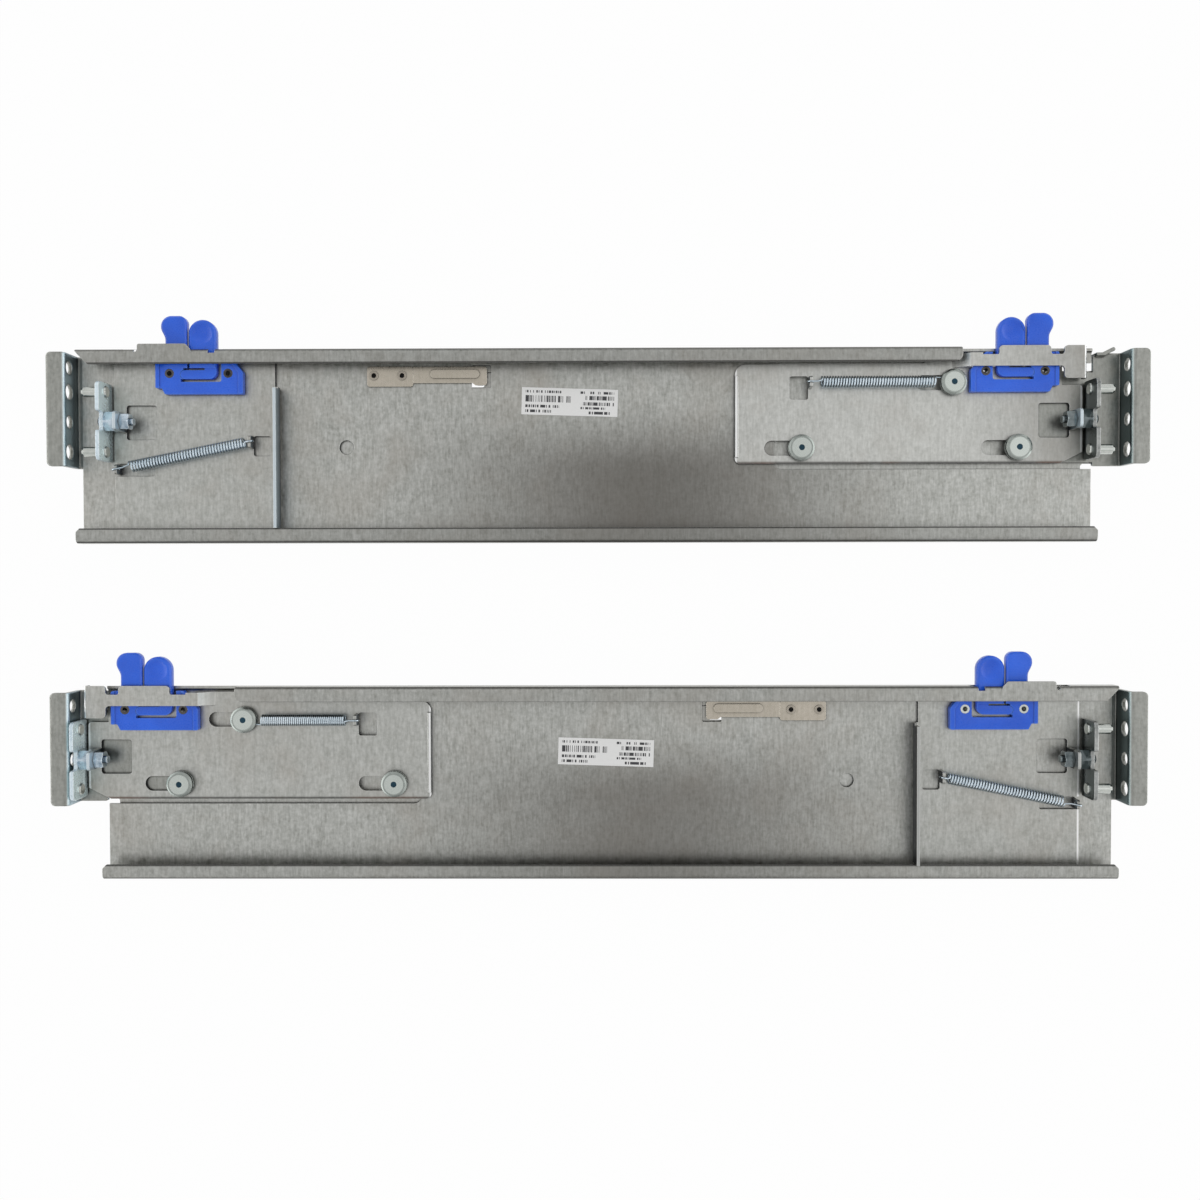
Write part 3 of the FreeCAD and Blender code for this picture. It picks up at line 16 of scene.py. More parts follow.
import bpy
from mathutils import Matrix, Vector

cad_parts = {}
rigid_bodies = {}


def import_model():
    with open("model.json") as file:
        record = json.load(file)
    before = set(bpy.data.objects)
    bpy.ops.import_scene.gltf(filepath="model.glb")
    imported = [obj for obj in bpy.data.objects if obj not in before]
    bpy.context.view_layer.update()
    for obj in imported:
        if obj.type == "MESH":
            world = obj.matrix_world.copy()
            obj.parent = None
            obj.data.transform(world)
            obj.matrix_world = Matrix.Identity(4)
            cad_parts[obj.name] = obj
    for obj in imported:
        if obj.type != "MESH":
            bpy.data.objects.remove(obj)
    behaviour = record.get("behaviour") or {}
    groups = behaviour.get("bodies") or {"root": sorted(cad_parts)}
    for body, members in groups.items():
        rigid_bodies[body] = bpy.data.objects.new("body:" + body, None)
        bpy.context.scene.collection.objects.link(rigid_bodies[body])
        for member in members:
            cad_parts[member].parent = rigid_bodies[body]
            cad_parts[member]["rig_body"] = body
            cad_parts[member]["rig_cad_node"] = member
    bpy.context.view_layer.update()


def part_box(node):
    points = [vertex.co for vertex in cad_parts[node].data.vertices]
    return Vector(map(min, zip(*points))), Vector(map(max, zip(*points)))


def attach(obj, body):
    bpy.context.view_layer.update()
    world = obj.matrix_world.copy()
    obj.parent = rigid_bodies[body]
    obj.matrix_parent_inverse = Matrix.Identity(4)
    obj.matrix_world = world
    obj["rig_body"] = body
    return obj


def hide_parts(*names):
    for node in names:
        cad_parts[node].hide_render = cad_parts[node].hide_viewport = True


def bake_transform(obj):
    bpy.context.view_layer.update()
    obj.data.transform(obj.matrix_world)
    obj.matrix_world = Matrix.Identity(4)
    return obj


LOG = logging.getLogger("server_rails")
Colour = tuple[float, float, float]
Point = tuple[float, float, float]
Spot = tuple[float, float]
Socket = bpy.types.NodeSocket
Sockets = bpy.types.bpy_prop_collection

# Heights above the floor that part the surfaces of a folded sheet.
FOOT_LEVEL = 0.0182
WALL_LEVELS = (0.0190, 0.0285)
LIP_LEVELS = (0.0230, 0.0252)
LIP_LEVEL = 0.0241
CREST_LEVELS = (0.0270, 0.0280)
BEND_LEVELS = (0.0270, 0.0300)

# How far the painted dark reflection on the web fades above and below its middle.
REFLECTION_RISE = 0.026
REFLECTION_DROP = 0.016

# Half widths of the thin lines that the finishes draw: a line of rust and painted gap shadow, painted shadow lines
# and glints, and a painted highlight along a bend.
RUST_SHADOW_REACH = 0.0017
LINE_REACH = 0.0008
BEND_REACH = 0.0012

# Values of the grain between which colours and roughness change, and shares used by every finish.
GRAIN_SPAN = (0.34, 0.66)
LINE_SPAN = (0.36, 0.64)
ROUGH_SPAN = (0.3, 0.7)
WALL_SPAN = (0.5, 0.9)
UPRIGHT_SPAN = (0.45, 0.98)
EDGE_SAMPLES = 6
RELIEF_HEIGHT = 0.0002
# Painted highlights on edges, and painted shade in crevices and at the foot of walls.
EDGE_HIGHLIGHT_GAIN = 1.6
EDGE_HIGHLIGHT_LIFT = 0.1
CREVICE_SHADE_SHARE = 0.10
WALL_FOOT_SHADE_SHARE = 0.35

# Places on a left-hand rail.
SCREW_SPOTS: tuple[Spot, ...] = ((0.1090, -0.0012), (0.2243, -0.0012), (0.1897, 0.0334))
LEAF_SPOTS: tuple[Spot, ...] = ((-0.1193, 0.0383), (-0.1042, 0.0383))
COIL_LEVEL = 0.0216
HOOK_LEVEL = 0.0229
NECK_LEVEL = 0.0199

WHITE: Colour = (1.0, 1.0, 1.0)
CRYSTAL: Colour = (0.66, 0.665, 0.65)
LIP_SHADE: Colour = (0.16, 0.16, 0.15)
# Painted gap shadow, mixed with rust along a carrier's lower edge.
GAP_SHADOW: Colour = (0.020, 0.018, 0.016)
RUST: Colour = (0.075, 0.026, 0.010)
# Painted shade at the foot of upright walls.
WALL_FOOT_SHADE: Colour = (0.008, 0.014, 0.024)
# Painted shade on cut edges that face along Y.
CUT_EDGE_SHADE: Colour = (0.022, 0.019, 0.016)
# Painted shadow lines along the inner edges of the lips.
LIP_EDGE_SHADOW: Colour = (0.020, 0.019, 0.018)
BEND_SHINE: Colour = (0.95, 0.98, 1.0)


class Side(Enum):
    """Which rail of the pair a piece belongs to."""

    LEFT = "left"
    RIGHT = "right"

    @property
    def sign(self) -> float:
        """Return +1 for the left-hand rail and -1 for the right-hand one."""
        return 1.0 if self is Side.LEFT else -1.0


class End(Enum):
    """Which end of a rail a carrier sits at."""

    REAR = "rear"
    FRONT = "front"


# ------------------------------------------------------------------ node graphs
@dataclass
class Graph:
    """A thin helper that adds and joins shader nodes in one tree."""

    tree: bpy.types.NodeTree

    def feed(self, target: Socket, value: object) -> None:
        """Join a socket to an input, or set the input's own value.

        Args:
            target: The input to feed.
            value: A socket, a number, a vector or a colour without its alpha.
        """
        if isinstance(value, bpy.types.NodeSocket):
            self.tree.links.new(value, target)
        elif isinstance(value, tuple) and target.type == "RGBA":
            target.default_value = (*value, 1.0)
        else:
            target.default_value = value

    def add(self, kind: str, **settings: object) -> bpy.types.Node:
        """Add a node.

        Args:
            kind: The node's type name.
            settings: Properties of the node, or sockets or values for its named inputs.

        Returns:
            The new node.
        """
        node = self.tree.nodes.new(kind)
        for name, value in settings.items():
            if hasattr(node, name):
                setattr(node, name, value)
            else:
                self.feed(node.inputs[name.replace("_", " ")], value)
        return node

    def place(self, kind: str = "Object") -> Socket:
        """Return the socket of the shaded point's place, or of its direction."""
        return self.add("ShaderNodeTexCoord").outputs[kind]

    def split(self, vector: Socket) -> Sockets:
        """Return the X, Y and Z sockets of a vector."""
        return self.add("ShaderNodeSeparateXYZ", Vector=vector).outputs

    def noise(self, place: Socket, **settings: object) -> Socket:
        """Return the value of a noise texture.

        Args:
            place: The socket of the place to read the noise at.
            settings: Sockets or values for the texture's named inputs.

        Returns:
            The value's socket.
        """
        return self.add("ShaderNodeTexNoise", Vector=place, **settings).outputs["Fac"]

    def math(self, operation: str, first: object, second: object = 0.0) -> Socket:
        """Add a math node.

        Args:
            operation: The operation's name.
            first: A socket or a number.
            second: A socket or a number.

        Returns:
            The node's value socket.
        """
        node = self.add("ShaderNodeMath", operation=operation)
        for index, value in enumerate((first, second)):
            self.feed(node.inputs[index], value)
        return node.outputs[0]

    def times(self, first: object, second: object) -> Socket:
        """Return the product of two sockets or numbers."""
        return self.math("MULTIPLY", first, second)

    def mix(self, factor: object, first: object, second: object) -> Socket:
        """Mix two values.

        Args:
            factor: A socket or a number from 0 to 1.
            first: The value, or its socket, at factor 0.
            second: The value, or its socket, at factor 1.

        Returns:
            The mixed value's socket.
        """
        rest = self.math("SUBTRACT", 1.0, factor)
        return self.math("ADD", self.times(factor, second), self.times(rest, first))

    def blend(self, factor: object, first: object, second: object) -> Socket:
        """Mix two colours.

        Args:
            factor: A socket or a number from 0 to 1.
            first: The colour, or its socket, at factor 0.
            second: The colour, or its socket, at factor 1.

        Returns:
            The mixed colour's socket.
        """
        node = self.add("ShaderNodeMix", data_type="RGBA")
        for index, value in ((0, factor), (6, first), (7, second)):
            self.feed(node.inputs[index], value)
        return node.outputs[2]

    def spread(self, value: Socket, low: float, high: float, start: float = 0.0, end: float = 1.0,
               smooth: bool = False) -> Socket:
        """Map a value from the range start..end to low..high.

        Args:
            value: The socket to map.
            low: The result at start.
            high: The result at end.
            start: One end of the input range.
            end: The other end of the input range.
            smooth: Whether the map eases in and out.

        Returns:
            The mapped value's socket.
        """
        node = self.add("ShaderNodeMapRange", interpolation_type="SMOOTHSTEP" if smooth else "LINEAR")
        for index, number in enumerate((value, start, end, low, high)):
            self.feed(node.inputs[index], number)
        return node.outputs[0]

    def bell(self, value: Socket, middle: float, reach: float) -> Socket:
        """Return a soft hump: 1 where a value is at its middle and 0 beyond its reach.

        Args:
            value: The socket to measure.
            middle: The value at the top of the hump.
            reach: The distance at which the hump has faded.

        Returns:
            The hump's socket.
        """
        away = self.math("ABSOLUTE", self.math("SUBTRACT", value, middle))
        return self.spread(away, 1.0, 0.0, 0.0, reach, smooth=True)


class SharedGroup:
    """A node group that many materials share; each kind wires its own nodes."""

    name: str = ""
    inputs: dict[str, float] = {}
    outputs: tuple[str, ...] = ()

    def wire(self, graph: Graph, inputs: Sockets) -> tuple[Socket, ...]:
        """Add the group's nodes.

        Args:
            graph: The group's graph.
            inputs: The sockets of the group's inputs.

        Returns:
            The sockets of the group's results, in the order of its outputs.
        """
        raise NotImplementedError

    def tree(self) -> bpy.types.NodeTree:
        """Build the node group on first use.

        Returns:
            The node group.
        """
        found = bpy.data.node_groups.get(self.name)
        if found:
            return found
        tree = bpy.data.node_groups.new(self.name, "ShaderNodeTree")
        for label, value in self.inputs.items():
            socket = tree.interface.new_socket(label, in_out="INPUT", socket_type="NodeSocketFloat")
            socket.default_value = value
        for label in self.outputs:
            tree.interface.new_socket(label, in_out="OUTPUT", socket_type="NodeSocketFloat")
        graph = Graph(tree)
        results = self.wire(graph, graph.add("NodeGroupInput").outputs)
        graph.add("NodeGroupOutput", **dict(zip(self.outputs, results)))
        return tree

    def use(self, graph: Graph, **values: float) -> Sockets:
        """Place the group in a material.

        Args:
            graph: The material's graph.
            values: Values for the group's inputs.

        Returns:
            The sockets of the group's results.
        """
        return graph.add("ShaderNodeGroup", node_tree=self.tree(), **values).outputs


class GrainGroup(SharedGroup):
    """The drawn grain, cloudy mottling and crystal spangle of rolled and plated sheet."""

    name = "sheet_grain"
    inputs = {"Across": 520.0, "Along": 46.0, "Cloud": 24.0, "Crystal": 330.0}
    outputs = ("Grain", "Mottle", "Spangle")
    plain_scale: float = 520.0
    drawn_share: float = 0.58

    def wire(self, graph: Graph, inputs: Sockets) -> tuple[Socket, ...]:
        """Add the group's nodes.

        Args:
            graph: The group's graph.
            inputs: The sockets of the group's inputs.

        Returns:
            The sockets of the group's results, in the order of its outputs.
        """
        place = graph.place()
        stretch = graph.add("ShaderNodeCombineXYZ", X=inputs["Across"], Y=inputs["Along"], Z=inputs["Across"])
        scaled = graph.add("ShaderNodeVectorMath", operation="MULTIPLY")
        graph.feed(scaled.inputs[0], place)
        graph.feed(scaled.inputs[1], stretch.outputs[0])
        drawn = graph.noise(scaled.outputs[0], Scale=1.0, Detail=5.0, Roughness=0.62)
        plain = graph.noise(place, Scale=self.plain_scale, Detail=3.0, Roughness=0.6)
        cloud = graph.noise(place, Scale=inputs["Cloud"], Detail=4.0, Roughness=0.55, Distortion=0.4)
        crystal = graph.add("ShaderNodeTexVoronoi", feature="F1", Vector=place, Scale=inputs["Crystal"],
                            Randomness=1.0)
        tone = graph.add("ShaderNodeSeparateColor", Color=crystal.outputs["Color"])
        return graph.mix(self.drawn_share, plain, drawn), cloud, tone.outputs[0]


class EdgeGroup(SharedGroup):
    """Painted highlights on edges and painted shade in crevices, found from the shape around a point."""

    name = "edge_highlight_and_crevice_shade"
    inputs = {"Reach": 0.0016, "Radius": 0.0005}
    outputs = ("Crevice", "Edge")
    hollow_span: Spot = (0.35, 0.92)
    ridge_span: Spot = (0.30, 0.85)

    def wire(self, graph: Graph, inputs: Sockets) -> tuple[Socket, ...]:
        """Add the group's nodes.

        Args:
            graph: The group's graph.
            inputs: The sockets of the group's inputs.

        Returns:
            The sockets of the group's results, in the order of its outputs.
        """
        hollow = graph.add("ShaderNodeAmbientOcclusion", samples=EDGE_SAMPLES, Distance=inputs["Reach"])
        ridge = graph.add("ShaderNodeAmbientOcclusion", samples=EDGE_SAMPLES, inside=True,
                          Distance=inputs["Radius"])
        return (graph.spread(hollow.outputs["AO"], 1.0, 0.0, *self.hollow_span),
                graph.spread(ridge.outputs["AO"], 1.0, 0.0, *self.ridge_span))


# ------------------------------------------------------------------ finishes
@dataclass(frozen=True)
class Finish:
    """A finish for one kind of surface, with the values its material uses."""

    name: str
    light: Colour
    dark: Colour
    roughness: float = 0.35
    uneven: float = 0.10
    metallic: float = 1.0
    edge: float = 0.00025
    across: float = 520.0
    along: float = 46.0
    bump: float = 0.05
    # Painted shade in crevices (reach, share) and painted highlight on edges (share, radius).
    reach: float = 0.0016
    crevice_shade: float = 0.85
    edge_highlight: float = 0.35
    rim: float = 0.0005

    def material(self) -> bpy.types.Material:
        """Build the material on first use.

        Returns:
            The material.
        """
        name = f"{self.name}_finish"
        found = bpy.data.materials.get(name)
        if found:
            return found
        made = bpy.data.materials.new(name)
        made.use_nodes = True
        made.node_tree.nodes.clear()
        graph = Graph(made.node_tree)
        shader = graph.add("ShaderNodeBsdfPrincipled", Metallic=self.metallic)
        graph.add("ShaderNodeOutputMaterial", Surface=shader.outputs[0])
        self.fill(graph, shader)
        return made

    def grain(self, graph: Graph) -> Sockets:
        """Return the grain, mottling and spangle at this finish's scale."""
        return GrainGroup().use(graph, Across=self.across, Along=self.along)

    def rough(self, graph: Graph, value: Socket, start: float = ROUGH_SPAN[0],
              end: float = ROUGH_SPAN[1]) -> Socket:
        """Return a roughness that varies with a value between start and end."""
        return graph.spread(value, self.roughness - self.uneven, self.roughness + self.uneven, start, end)

    def edge_light_and_shade(self, graph: Graph, colour: Socket) -> Socket:
        """Return a colour with painted highlights on edges and painted shade in crevices.

        Args:
            graph: The material's graph.
            colour: The colour's socket.

        Returns:
            The socket of the marked colour.
        """
        marks = EdgeGroup().use(graph, Reach=self.reach, Radius=self.rim)
        highlight = tuple(min(1.0, channel * EDGE_HIGHLIGHT_GAIN + EDGE_HIGHLIGHT_LIFT) for channel in self.light)
        shade_colour = tuple(channel * CREVICE_SHADE_SHARE for channel in self.dark)
        # Painted highlight on edges, then painted shade in crevices.
        bright = graph.blend(graph.times(marks["Edge"], self.edge_highlight), colour, highlight)
        return graph.blend(graph.times(marks["Crevice"], self.crevice_shade), bright, shade_colour)

    def coat(self, graph: Graph, shader: bpy.types.Node, colour: Socket, rough: Socket, relief: Socket) -> None:
        """Feed the shader.

        Args:
            graph: The material's graph.
            shader: The Principled shader to feed.
            colour: The colour's socket.
            rough: The roughness's socket.
            relief: The socket of the fine relief's height, from 0 to 1.
        """
        soft = graph.add("ShaderNodeBevel", samples=EDGE_SAMPLES, Radius=self.edge)
        bump = graph.add("ShaderNodeBump", Strength=self.bump, Distance=RELIEF_HEIGHT, Height=relief,
                         Normal=soft.outputs[0])
        for name, socket in (("Base Color", colour), ("Roughness", rough), ("Normal", bump.outputs[0])):
            graph.feed(shader.inputs[name], socket)

    def fill(self, graph: Graph, shader: bpy.types.Node) -> None:
        """Fill the material's graph with grain, mottling, edge softening, painted edge highlights and painted crevice
        shade.

        Args:
            graph: The material's graph.
            shader: The Principled shader to feed.
        """
        grain = self.grain(graph)
        factor = graph.spread(graph.mix(0.55, grain["Mottle"], grain["Grain"]), 0.0, 1.0, *GRAIN_SPAN)
        colour = self.edge_light_and_shade(graph, graph.blend(factor, self.dark, self.light))
        self.coat(graph, shader, colour, self.rough(graph, grain["Grain"]), grain["Grain"])


@dataclass(frozen=True)
class Galvanised(Finish):
    """Hot-dip galvanised sheet: cross grain, faint spangle, warm clouds, a broad painted dark reflection, and rust
    with painted gap shadow.
    """

    warm: Colour = (0.36, 0.325, 0.28)
    # Painted dark reflection: its colour, its middle, its reach across and its share.
    dark_reflection: Colour = (0.125, 0.117, 0.105)
    dark_reflection_at: Spot = (0.030, 0.0)
    dark_reflection_reach: float = 0.165
    dark_reflection_share: float = 0.0
    # Where a line of rust and painted gap shadow runs.
    rust_and_shadow_at: float | None = None
    lip: float = 0.0
    # Where painted shadow lines run along the lips' inner edges.
    lip_shadow_lines: tuple[float, ...] = ()
    glints: tuple[float, ...] = ()
    # Painted reflection on end walls, dark as shadow on the right rear carrier, and a painted highlight on crests.
    painted_wall_tone: Colour = (0.42, 0.52, 0.60)
    crest_highlight: Colour = (0.60, 0.68, 0.73)

    def sheet(self, graph: Graph, grain: Sockets) -> Socket:
        """Return the bare sheet's colour: grain, warm clouds and pale crystals.

        Args:
            graph: The material's graph.
            grain: The sockets of grain, mottling and spangle.

        Returns:
            The colour's socket.
        """
        lines = graph.spread(grain["Grain"], 0.0, 1.0, *LINE_SPAN)
        cloud = graph.spread(grain["Mottle"], 0.0, 0.45, 0.46, 0.78)
        crystal = graph.spread(grain["Spangle"], 0.0, 0.14)
        colour = graph.blend(cloud, graph.blend(lines, self.dark, self.light), self.warm)
        return graph.blend(crystal, colour, CRYSTAL)

    def painted_shade_and_rust(self, graph: Graph, colour: Socket, parts: Sockets, mottle: Socket) -> Socket:
        """Return the colour with its painted dark reflection, painted shade on the lips and a line of rust and
        painted gap shadow.

        Args:
            graph: The material's graph.
            colour: The colour's socket.
            parts: The X, Y and Z sockets of the place.
            mottle: The mottling's socket.

        Returns:
            The socket of the aged colour.
        """
        lip = graph.spread(parts[2], 0.0, self.lip, *LIP_LEVELS) if self.lip else 0.0
        # Painted dark reflection: a broad darker patch, strongest below its middle and fading across X.
        if self.dark_reflection_share:
            across = graph.bell(parts[0], self.dark_reflection_at[0], self.dark_reflection_reach)
            below = graph.spread(parts[1], 0.0, 1.0, self.dark_reflection_at[1] + REFLECTION_RISE, self.dark_reflection_at[1] - REFLECTION_DROP,
                                 smooth=True)
            reflection_mask = graph.times(graph.times(across, below), self.dark_reflection_share)
            colour = graph.blend(graph.times(reflection_mask, graph.math("SUBTRACT", 1.0, lip)), colour, self.dark_reflection)
        if self.lip:
            colour = graph.blend(lip, colour, LIP_SHADE)
        # A line of rust and painted gap shadow along a carrier's lower edge.
        if self.rust_and_shadow_at is not None:
            line = graph.bell(parts[1], self.rust_and_shadow_at, RUST_SHADOW_REACH)
            rust_and_shadow = graph.blend(graph.spread(mottle, 0.0, 1.0, 0.46, 0.58), GAP_SHADOW, RUST)
            colour = graph.blend(graph.times(line, 0.92), colour, rust_and_shadow)
        return colour

    def folded(self, graph: Graph, colour: Socket, parts: Sockets) -> Socket:
        """Return the colour with painted shade and reflection on end walls, painted shade on cut edges, painted
        highlights on crests, painted shadow lines at the lips and painted glints.

        Args:
            graph: The material's graph.
            colour: The colour's socket.
            parts: The X, Y and Z sockets of the place.

        Returns:
            The socket of the folded sheet's colour.
        """
        facing = graph.split(graph.place("Normal"))
        end_wall = graph.spread(graph.math("ABSOLUTE", facing[0]), 0.0, 1.0, *WALL_SPAN)
        long_wall = graph.spread(graph.math("ABSOLUTE", facing[1]), 0.0, 0.9, *WALL_SPAN)
        rise = graph.spread(parts[2], 0.0, 1.0, *WALL_LEVELS)
        # End walls: painted shade at the foot, rising to the painted wall tone.
        colour = graph.blend(end_wall, colour, graph.blend(rise, WALL_FOOT_SHADE, self.painted_wall_tone))
        # Painted shade on edges that face along Y, on the lips and low down.
        on_lip = graph.math("GREATER_THAN", parts[2], LIP_LEVEL)
        thin = graph.math("MAXIMUM", on_lip, graph.math("LESS_THAN", parts[2], FOOT_LEVEL))
        colour = graph.blend(graph.times(long_wall, thin), colour, CUT_EDGE_SHADE)
        # A painted highlight on the crests of rims.
        colour = graph.blend(graph.spread(parts[2], 0.0, 0.9, *CREST_LEVELS), colour, self.crest_highlight)
        # Painted shadow lines along the lips' inner edges.
        for place in self.lip_shadow_lines:
            colour = graph.blend(graph.times(graph.bell(parts[1], place, LINE_REACH), on_lip), colour, LIP_EDGE_SHADOW)
        for place in self.glints:
            colour = graph.blend(graph.times(graph.bell(parts[0], place, LINE_REACH), 0.9), colour, WHITE)
        return colour

    def fill(self, graph: Graph, shader: bpy.types.Node) -> None:
        """Fill the material's graph.

        Args:
            graph: The material's graph.
            shader: The Principled shader to feed.
        """
        grain = self.grain(graph)
        parts = graph.split(graph.place())
        colour = self.painted_shade_and_rust(graph, self.sheet(graph, grain), parts, grain["Mottle"])
        colour = self.edge_light_and_shade(graph, self.folded(graph, colour, parts))
        rough = graph.math("ADD", graph.spread(grain["Grain"], -self.uneven, self.uneven, *ROUGH_SPAN),
                           graph.spread(grain["Spangle"], self.roughness - 0.03, self.roughness + 0.03))
        self.coat(graph, shader, colour, rough, grain["Grain"])


@dataclass(frozen=True)
class BentZinc(Finish):
    """Bright zinc plate whose upright walls carry painted shade at the foot and a painted reflection above, and a
    painted highlight along a bend where one is set.
    """

    painted_wall_tone: Colour = (0.45, 0.53, 0.60)
    foot: float = 0.016
    head: float = 0.031
    bend: float = 0.0

    def fill(self, graph: Graph, shader: bpy.types.Node) -> None:
        """Fill the material's graph.

        Args:
            graph: The material's graph.
            shader: The Principled shader to feed.
        """
        grain = self.grain(graph)
        parts = graph.split(graph.place())
        facing = graph.split(graph.place("Normal"))
        lines = graph.spread(grain["Grain"], 0.0, 1.0, *LINE_SPAN)
        # Upright walls: painted shade at the foot, rising to a painted reflection.
        shade_colour = tuple(channel * WALL_FOOT_SHADE_SHARE for channel in self.painted_wall_tone)
        painted_wall_tone = graph.blend(graph.spread(parts[2], 0.0, 1.0, self.foot, self.head), shade_colour, self.painted_wall_tone)
        upright = graph.spread(graph.math("ABSOLUTE", facing[0]), 0.0, 1.0, *UPRIGHT_SPAN)
        colour = graph.blend(upright, graph.blend(lines, self.dark, self.light), painted_wall_tone)
        if self.bend:
            line = graph.bell(graph.math("ABSOLUTE", parts[0]), self.bend, BEND_REACH)
            top = graph.spread(parts[2], 0.0, 0.95, *BEND_LEVELS)
            colour = graph.blend(graph.times(line, top), colour, BEND_SHINE)
        self.coat(graph, shader, self.edge_light_and_shade(graph, colour), self.rough(graph, grain["Grain"]), grain["Grain"])


@dataclass(frozen=True)
class Moulded(Finish):
    """Moulded plastic with a satin skin and a very fine spark-eroded texture."""

    texture: float = 2600.0
    flow: float = 60.0

    def fill(self, graph: Graph, shader: bpy.types.Node) -> None:
        """Fill the material's graph.

        Args:
            graph: The material's graph.
            shader: The Principled shader to feed.
        """
        place = graph.place()
        skin = graph.noise(place, Scale=self.texture, Detail=3.0)
        flow = graph.noise(place, Scale=self.flow, Detail=2.0)
        colour = graph.blend(graph.spread(flow, 0.0, 1.0, 0.3, 0.7), self.dark, self.light)
        self.coat(graph, shader, self.edge_light_and_shade(graph, colour), self.rough(graph, skin, 0.0, 1.0), skin)


@dataclass(frozen=True)
class PrintedRow:
    """One printed row of a label, in shares of its half length and half width."""

    low: Spot
    high: Spot
    pitch: float
    share: float
    seed: float


LABEL_ROWS = (
    PrintedRow((-0.92, 0.62), (-0.18, 0.80), 0.00042, 0.52, 3.0),
    PrintedRow((-0.92, -0.05), (0.02, 0.42), 0.00030, 0.50, 17.0),
    PrintedRow((-0.92, -0.46), (-0.22, -0.26), 0.00045, 0.55, 29.0),
    PrintedRow((-0.92, -0.82), (-0.38, -0.62), 0.00045, 0.55, 41.0),
    PrintedRow((0.22, 0.62), (0.92, 0.80), 0.00042, 0.50, 53.0),
    PrintedRow((0.28, 0.18), (0.92, 0.48), 0.00030, 0.50, 61.0),
    PrintedRow((0.28, -0.22), (0.92, 0.02), 0.00030, 0.50, 77.0),
    PrintedRow((0.22, -0.50), (0.74, -0.34), 0.00042, 0.48, 89.0),
    PrintedRow((0.40, -0.86), (0.84, -0.66), 0.00060, 0.66, 97.0),
)


@dataclass(frozen=True)
class LabelPaper(Finish):
    """White label stock with rows of plain bars and dashes and no lettering."""

    ink: Colour = (0.03, 0.03, 0.035)
    middle: Spot = (0.0, 0.0)
    half_size: Spot = (0.0258, 0.0073)
    turn: float = 0.0

    def printed(self, graph: Graph, parts: Sockets, row: PrintedRow) -> Socket:
        """Return the mask of one printed row.

        Args:
            graph: The material's graph.
            parts: The X and Y sockets of the place on the label.
            row: The row to print.

        Returns:
            The mask's socket, 1 where the row is printed.
        """
        step = graph.math("FLOOR", graph.math("DIVIDE", parts[0], row.pitch))
        dice = graph.add("ShaderNodeTexWhiteNoise", noise_dimensions="1D", W=graph.math("ADD", step, row.seed))
        mask = graph.math("LESS_THAN", dice.outputs["Value"], row.share)
        for axis, size in enumerate(self.half_size):
            mask = graph.times(mask, graph.math("GREATER_THAN", parts[axis], row.low[axis] * size))
            mask = graph.times(mask, graph.math("LESS_THAN", parts[axis], row.high[axis] * size))
        return mask

    def fill(self, graph: Graph, shader: bpy.types.Node) -> None:
        """Fill the material's graph.

        Args:
            graph: The material's graph.
            shader: The Principled shader to feed.
        """
        place = graph.place()
        centre = graph.add("ShaderNodeMapping", vector_type="TEXTURE", Vector=place,
                           Location=(*self.middle, 0.0), Rotation=(0.0, 0.0, self.turn))
        parts = graph.split(centre.outputs[0])
        ink = self.printed(graph, parts, LABEL_ROWS[0])
        for row in LABEL_ROWS[1:]:
            ink = graph.math("MAXIMUM", ink, self.printed(graph, parts, row))
        fibre = graph.noise(place, Scale=900.0, Detail=3.0)
        paper = graph.blend(fibre, self.dark, self.light)
        colour = graph.blend(graph.times(ink, 0.98), paper, self.ink)
        self.coat(graph, shader, colour, self.rough(graph, fibre, 0.0, 1.0), fibre)


GALVANISED = Galvanised("galvanised", (0.56, 0.565, 0.54), (0.33, 0.335, 0.31), 0.40, 0.05, bump=0.12,
                        across=900.0, along=170.0, reach=0.0011)
CHANNEL = replace(GALVANISED, light=(0.555, 0.56, 0.535), dark=(0.315, 0.32, 0.295), bump=0.14, along=150.0)
CARRIER = replace(GALVANISED, light=(0.53, 0.535, 0.51), dark=(0.34, 0.345, 0.32), across=860.0, along=150.0,
                  reach=0.0009)
CHANNELS = {
    Side.LEFT: replace(CHANNEL, name="left_channel", dark_reflection_at=(0.030, 0.082), dark_reflection_share=0.81, lip=0.34,
                       lip_shadow_lines=(0.0295, 0.0370, 0.1245)),
    Side.RIGHT: replace(CHANNEL, name="right_channel", dark_reflection_at=(0.030, -0.093), dark_reflection_share=0.66, lip=0.20,
                        lip_shadow_lines=(-0.1500, -0.1425, -0.0555)),
}
REAR_CARRIERS = {
    Side.LEFT: replace(CARRIER, name="left_rear_carrier"),
    Side.RIGHT: replace(CARRIER, name="right_rear_carrier", glints=(0.2578,), painted_wall_tone=(0.018, 0.020, 0.024),
                        crest_highlight=(0.42, 0.43, 0.42)),
}
FRONT_CARRIERS = {
    Side.LEFT: replace(CARRIER, name="left_front_carrier", light=(0.62, 0.625, 0.60), dark=(0.44, 0.445, 0.42),
                       dark_reflection_at=(0.275, 0.5), dark_reflection_reach=0.10, dark_reflection_share=0.38, rust_and_shadow_at=0.0713,
                       glints=(0.2582, 0.0745)),
    Side.RIGHT: replace(CARRIER, name="right_front_carrier", light=(0.55, 0.555, 0.53), dark=(0.36, 0.365, 0.34),
                        rust_and_shadow_at=-0.1082, glints=(-0.2738, -0.0899)),
}
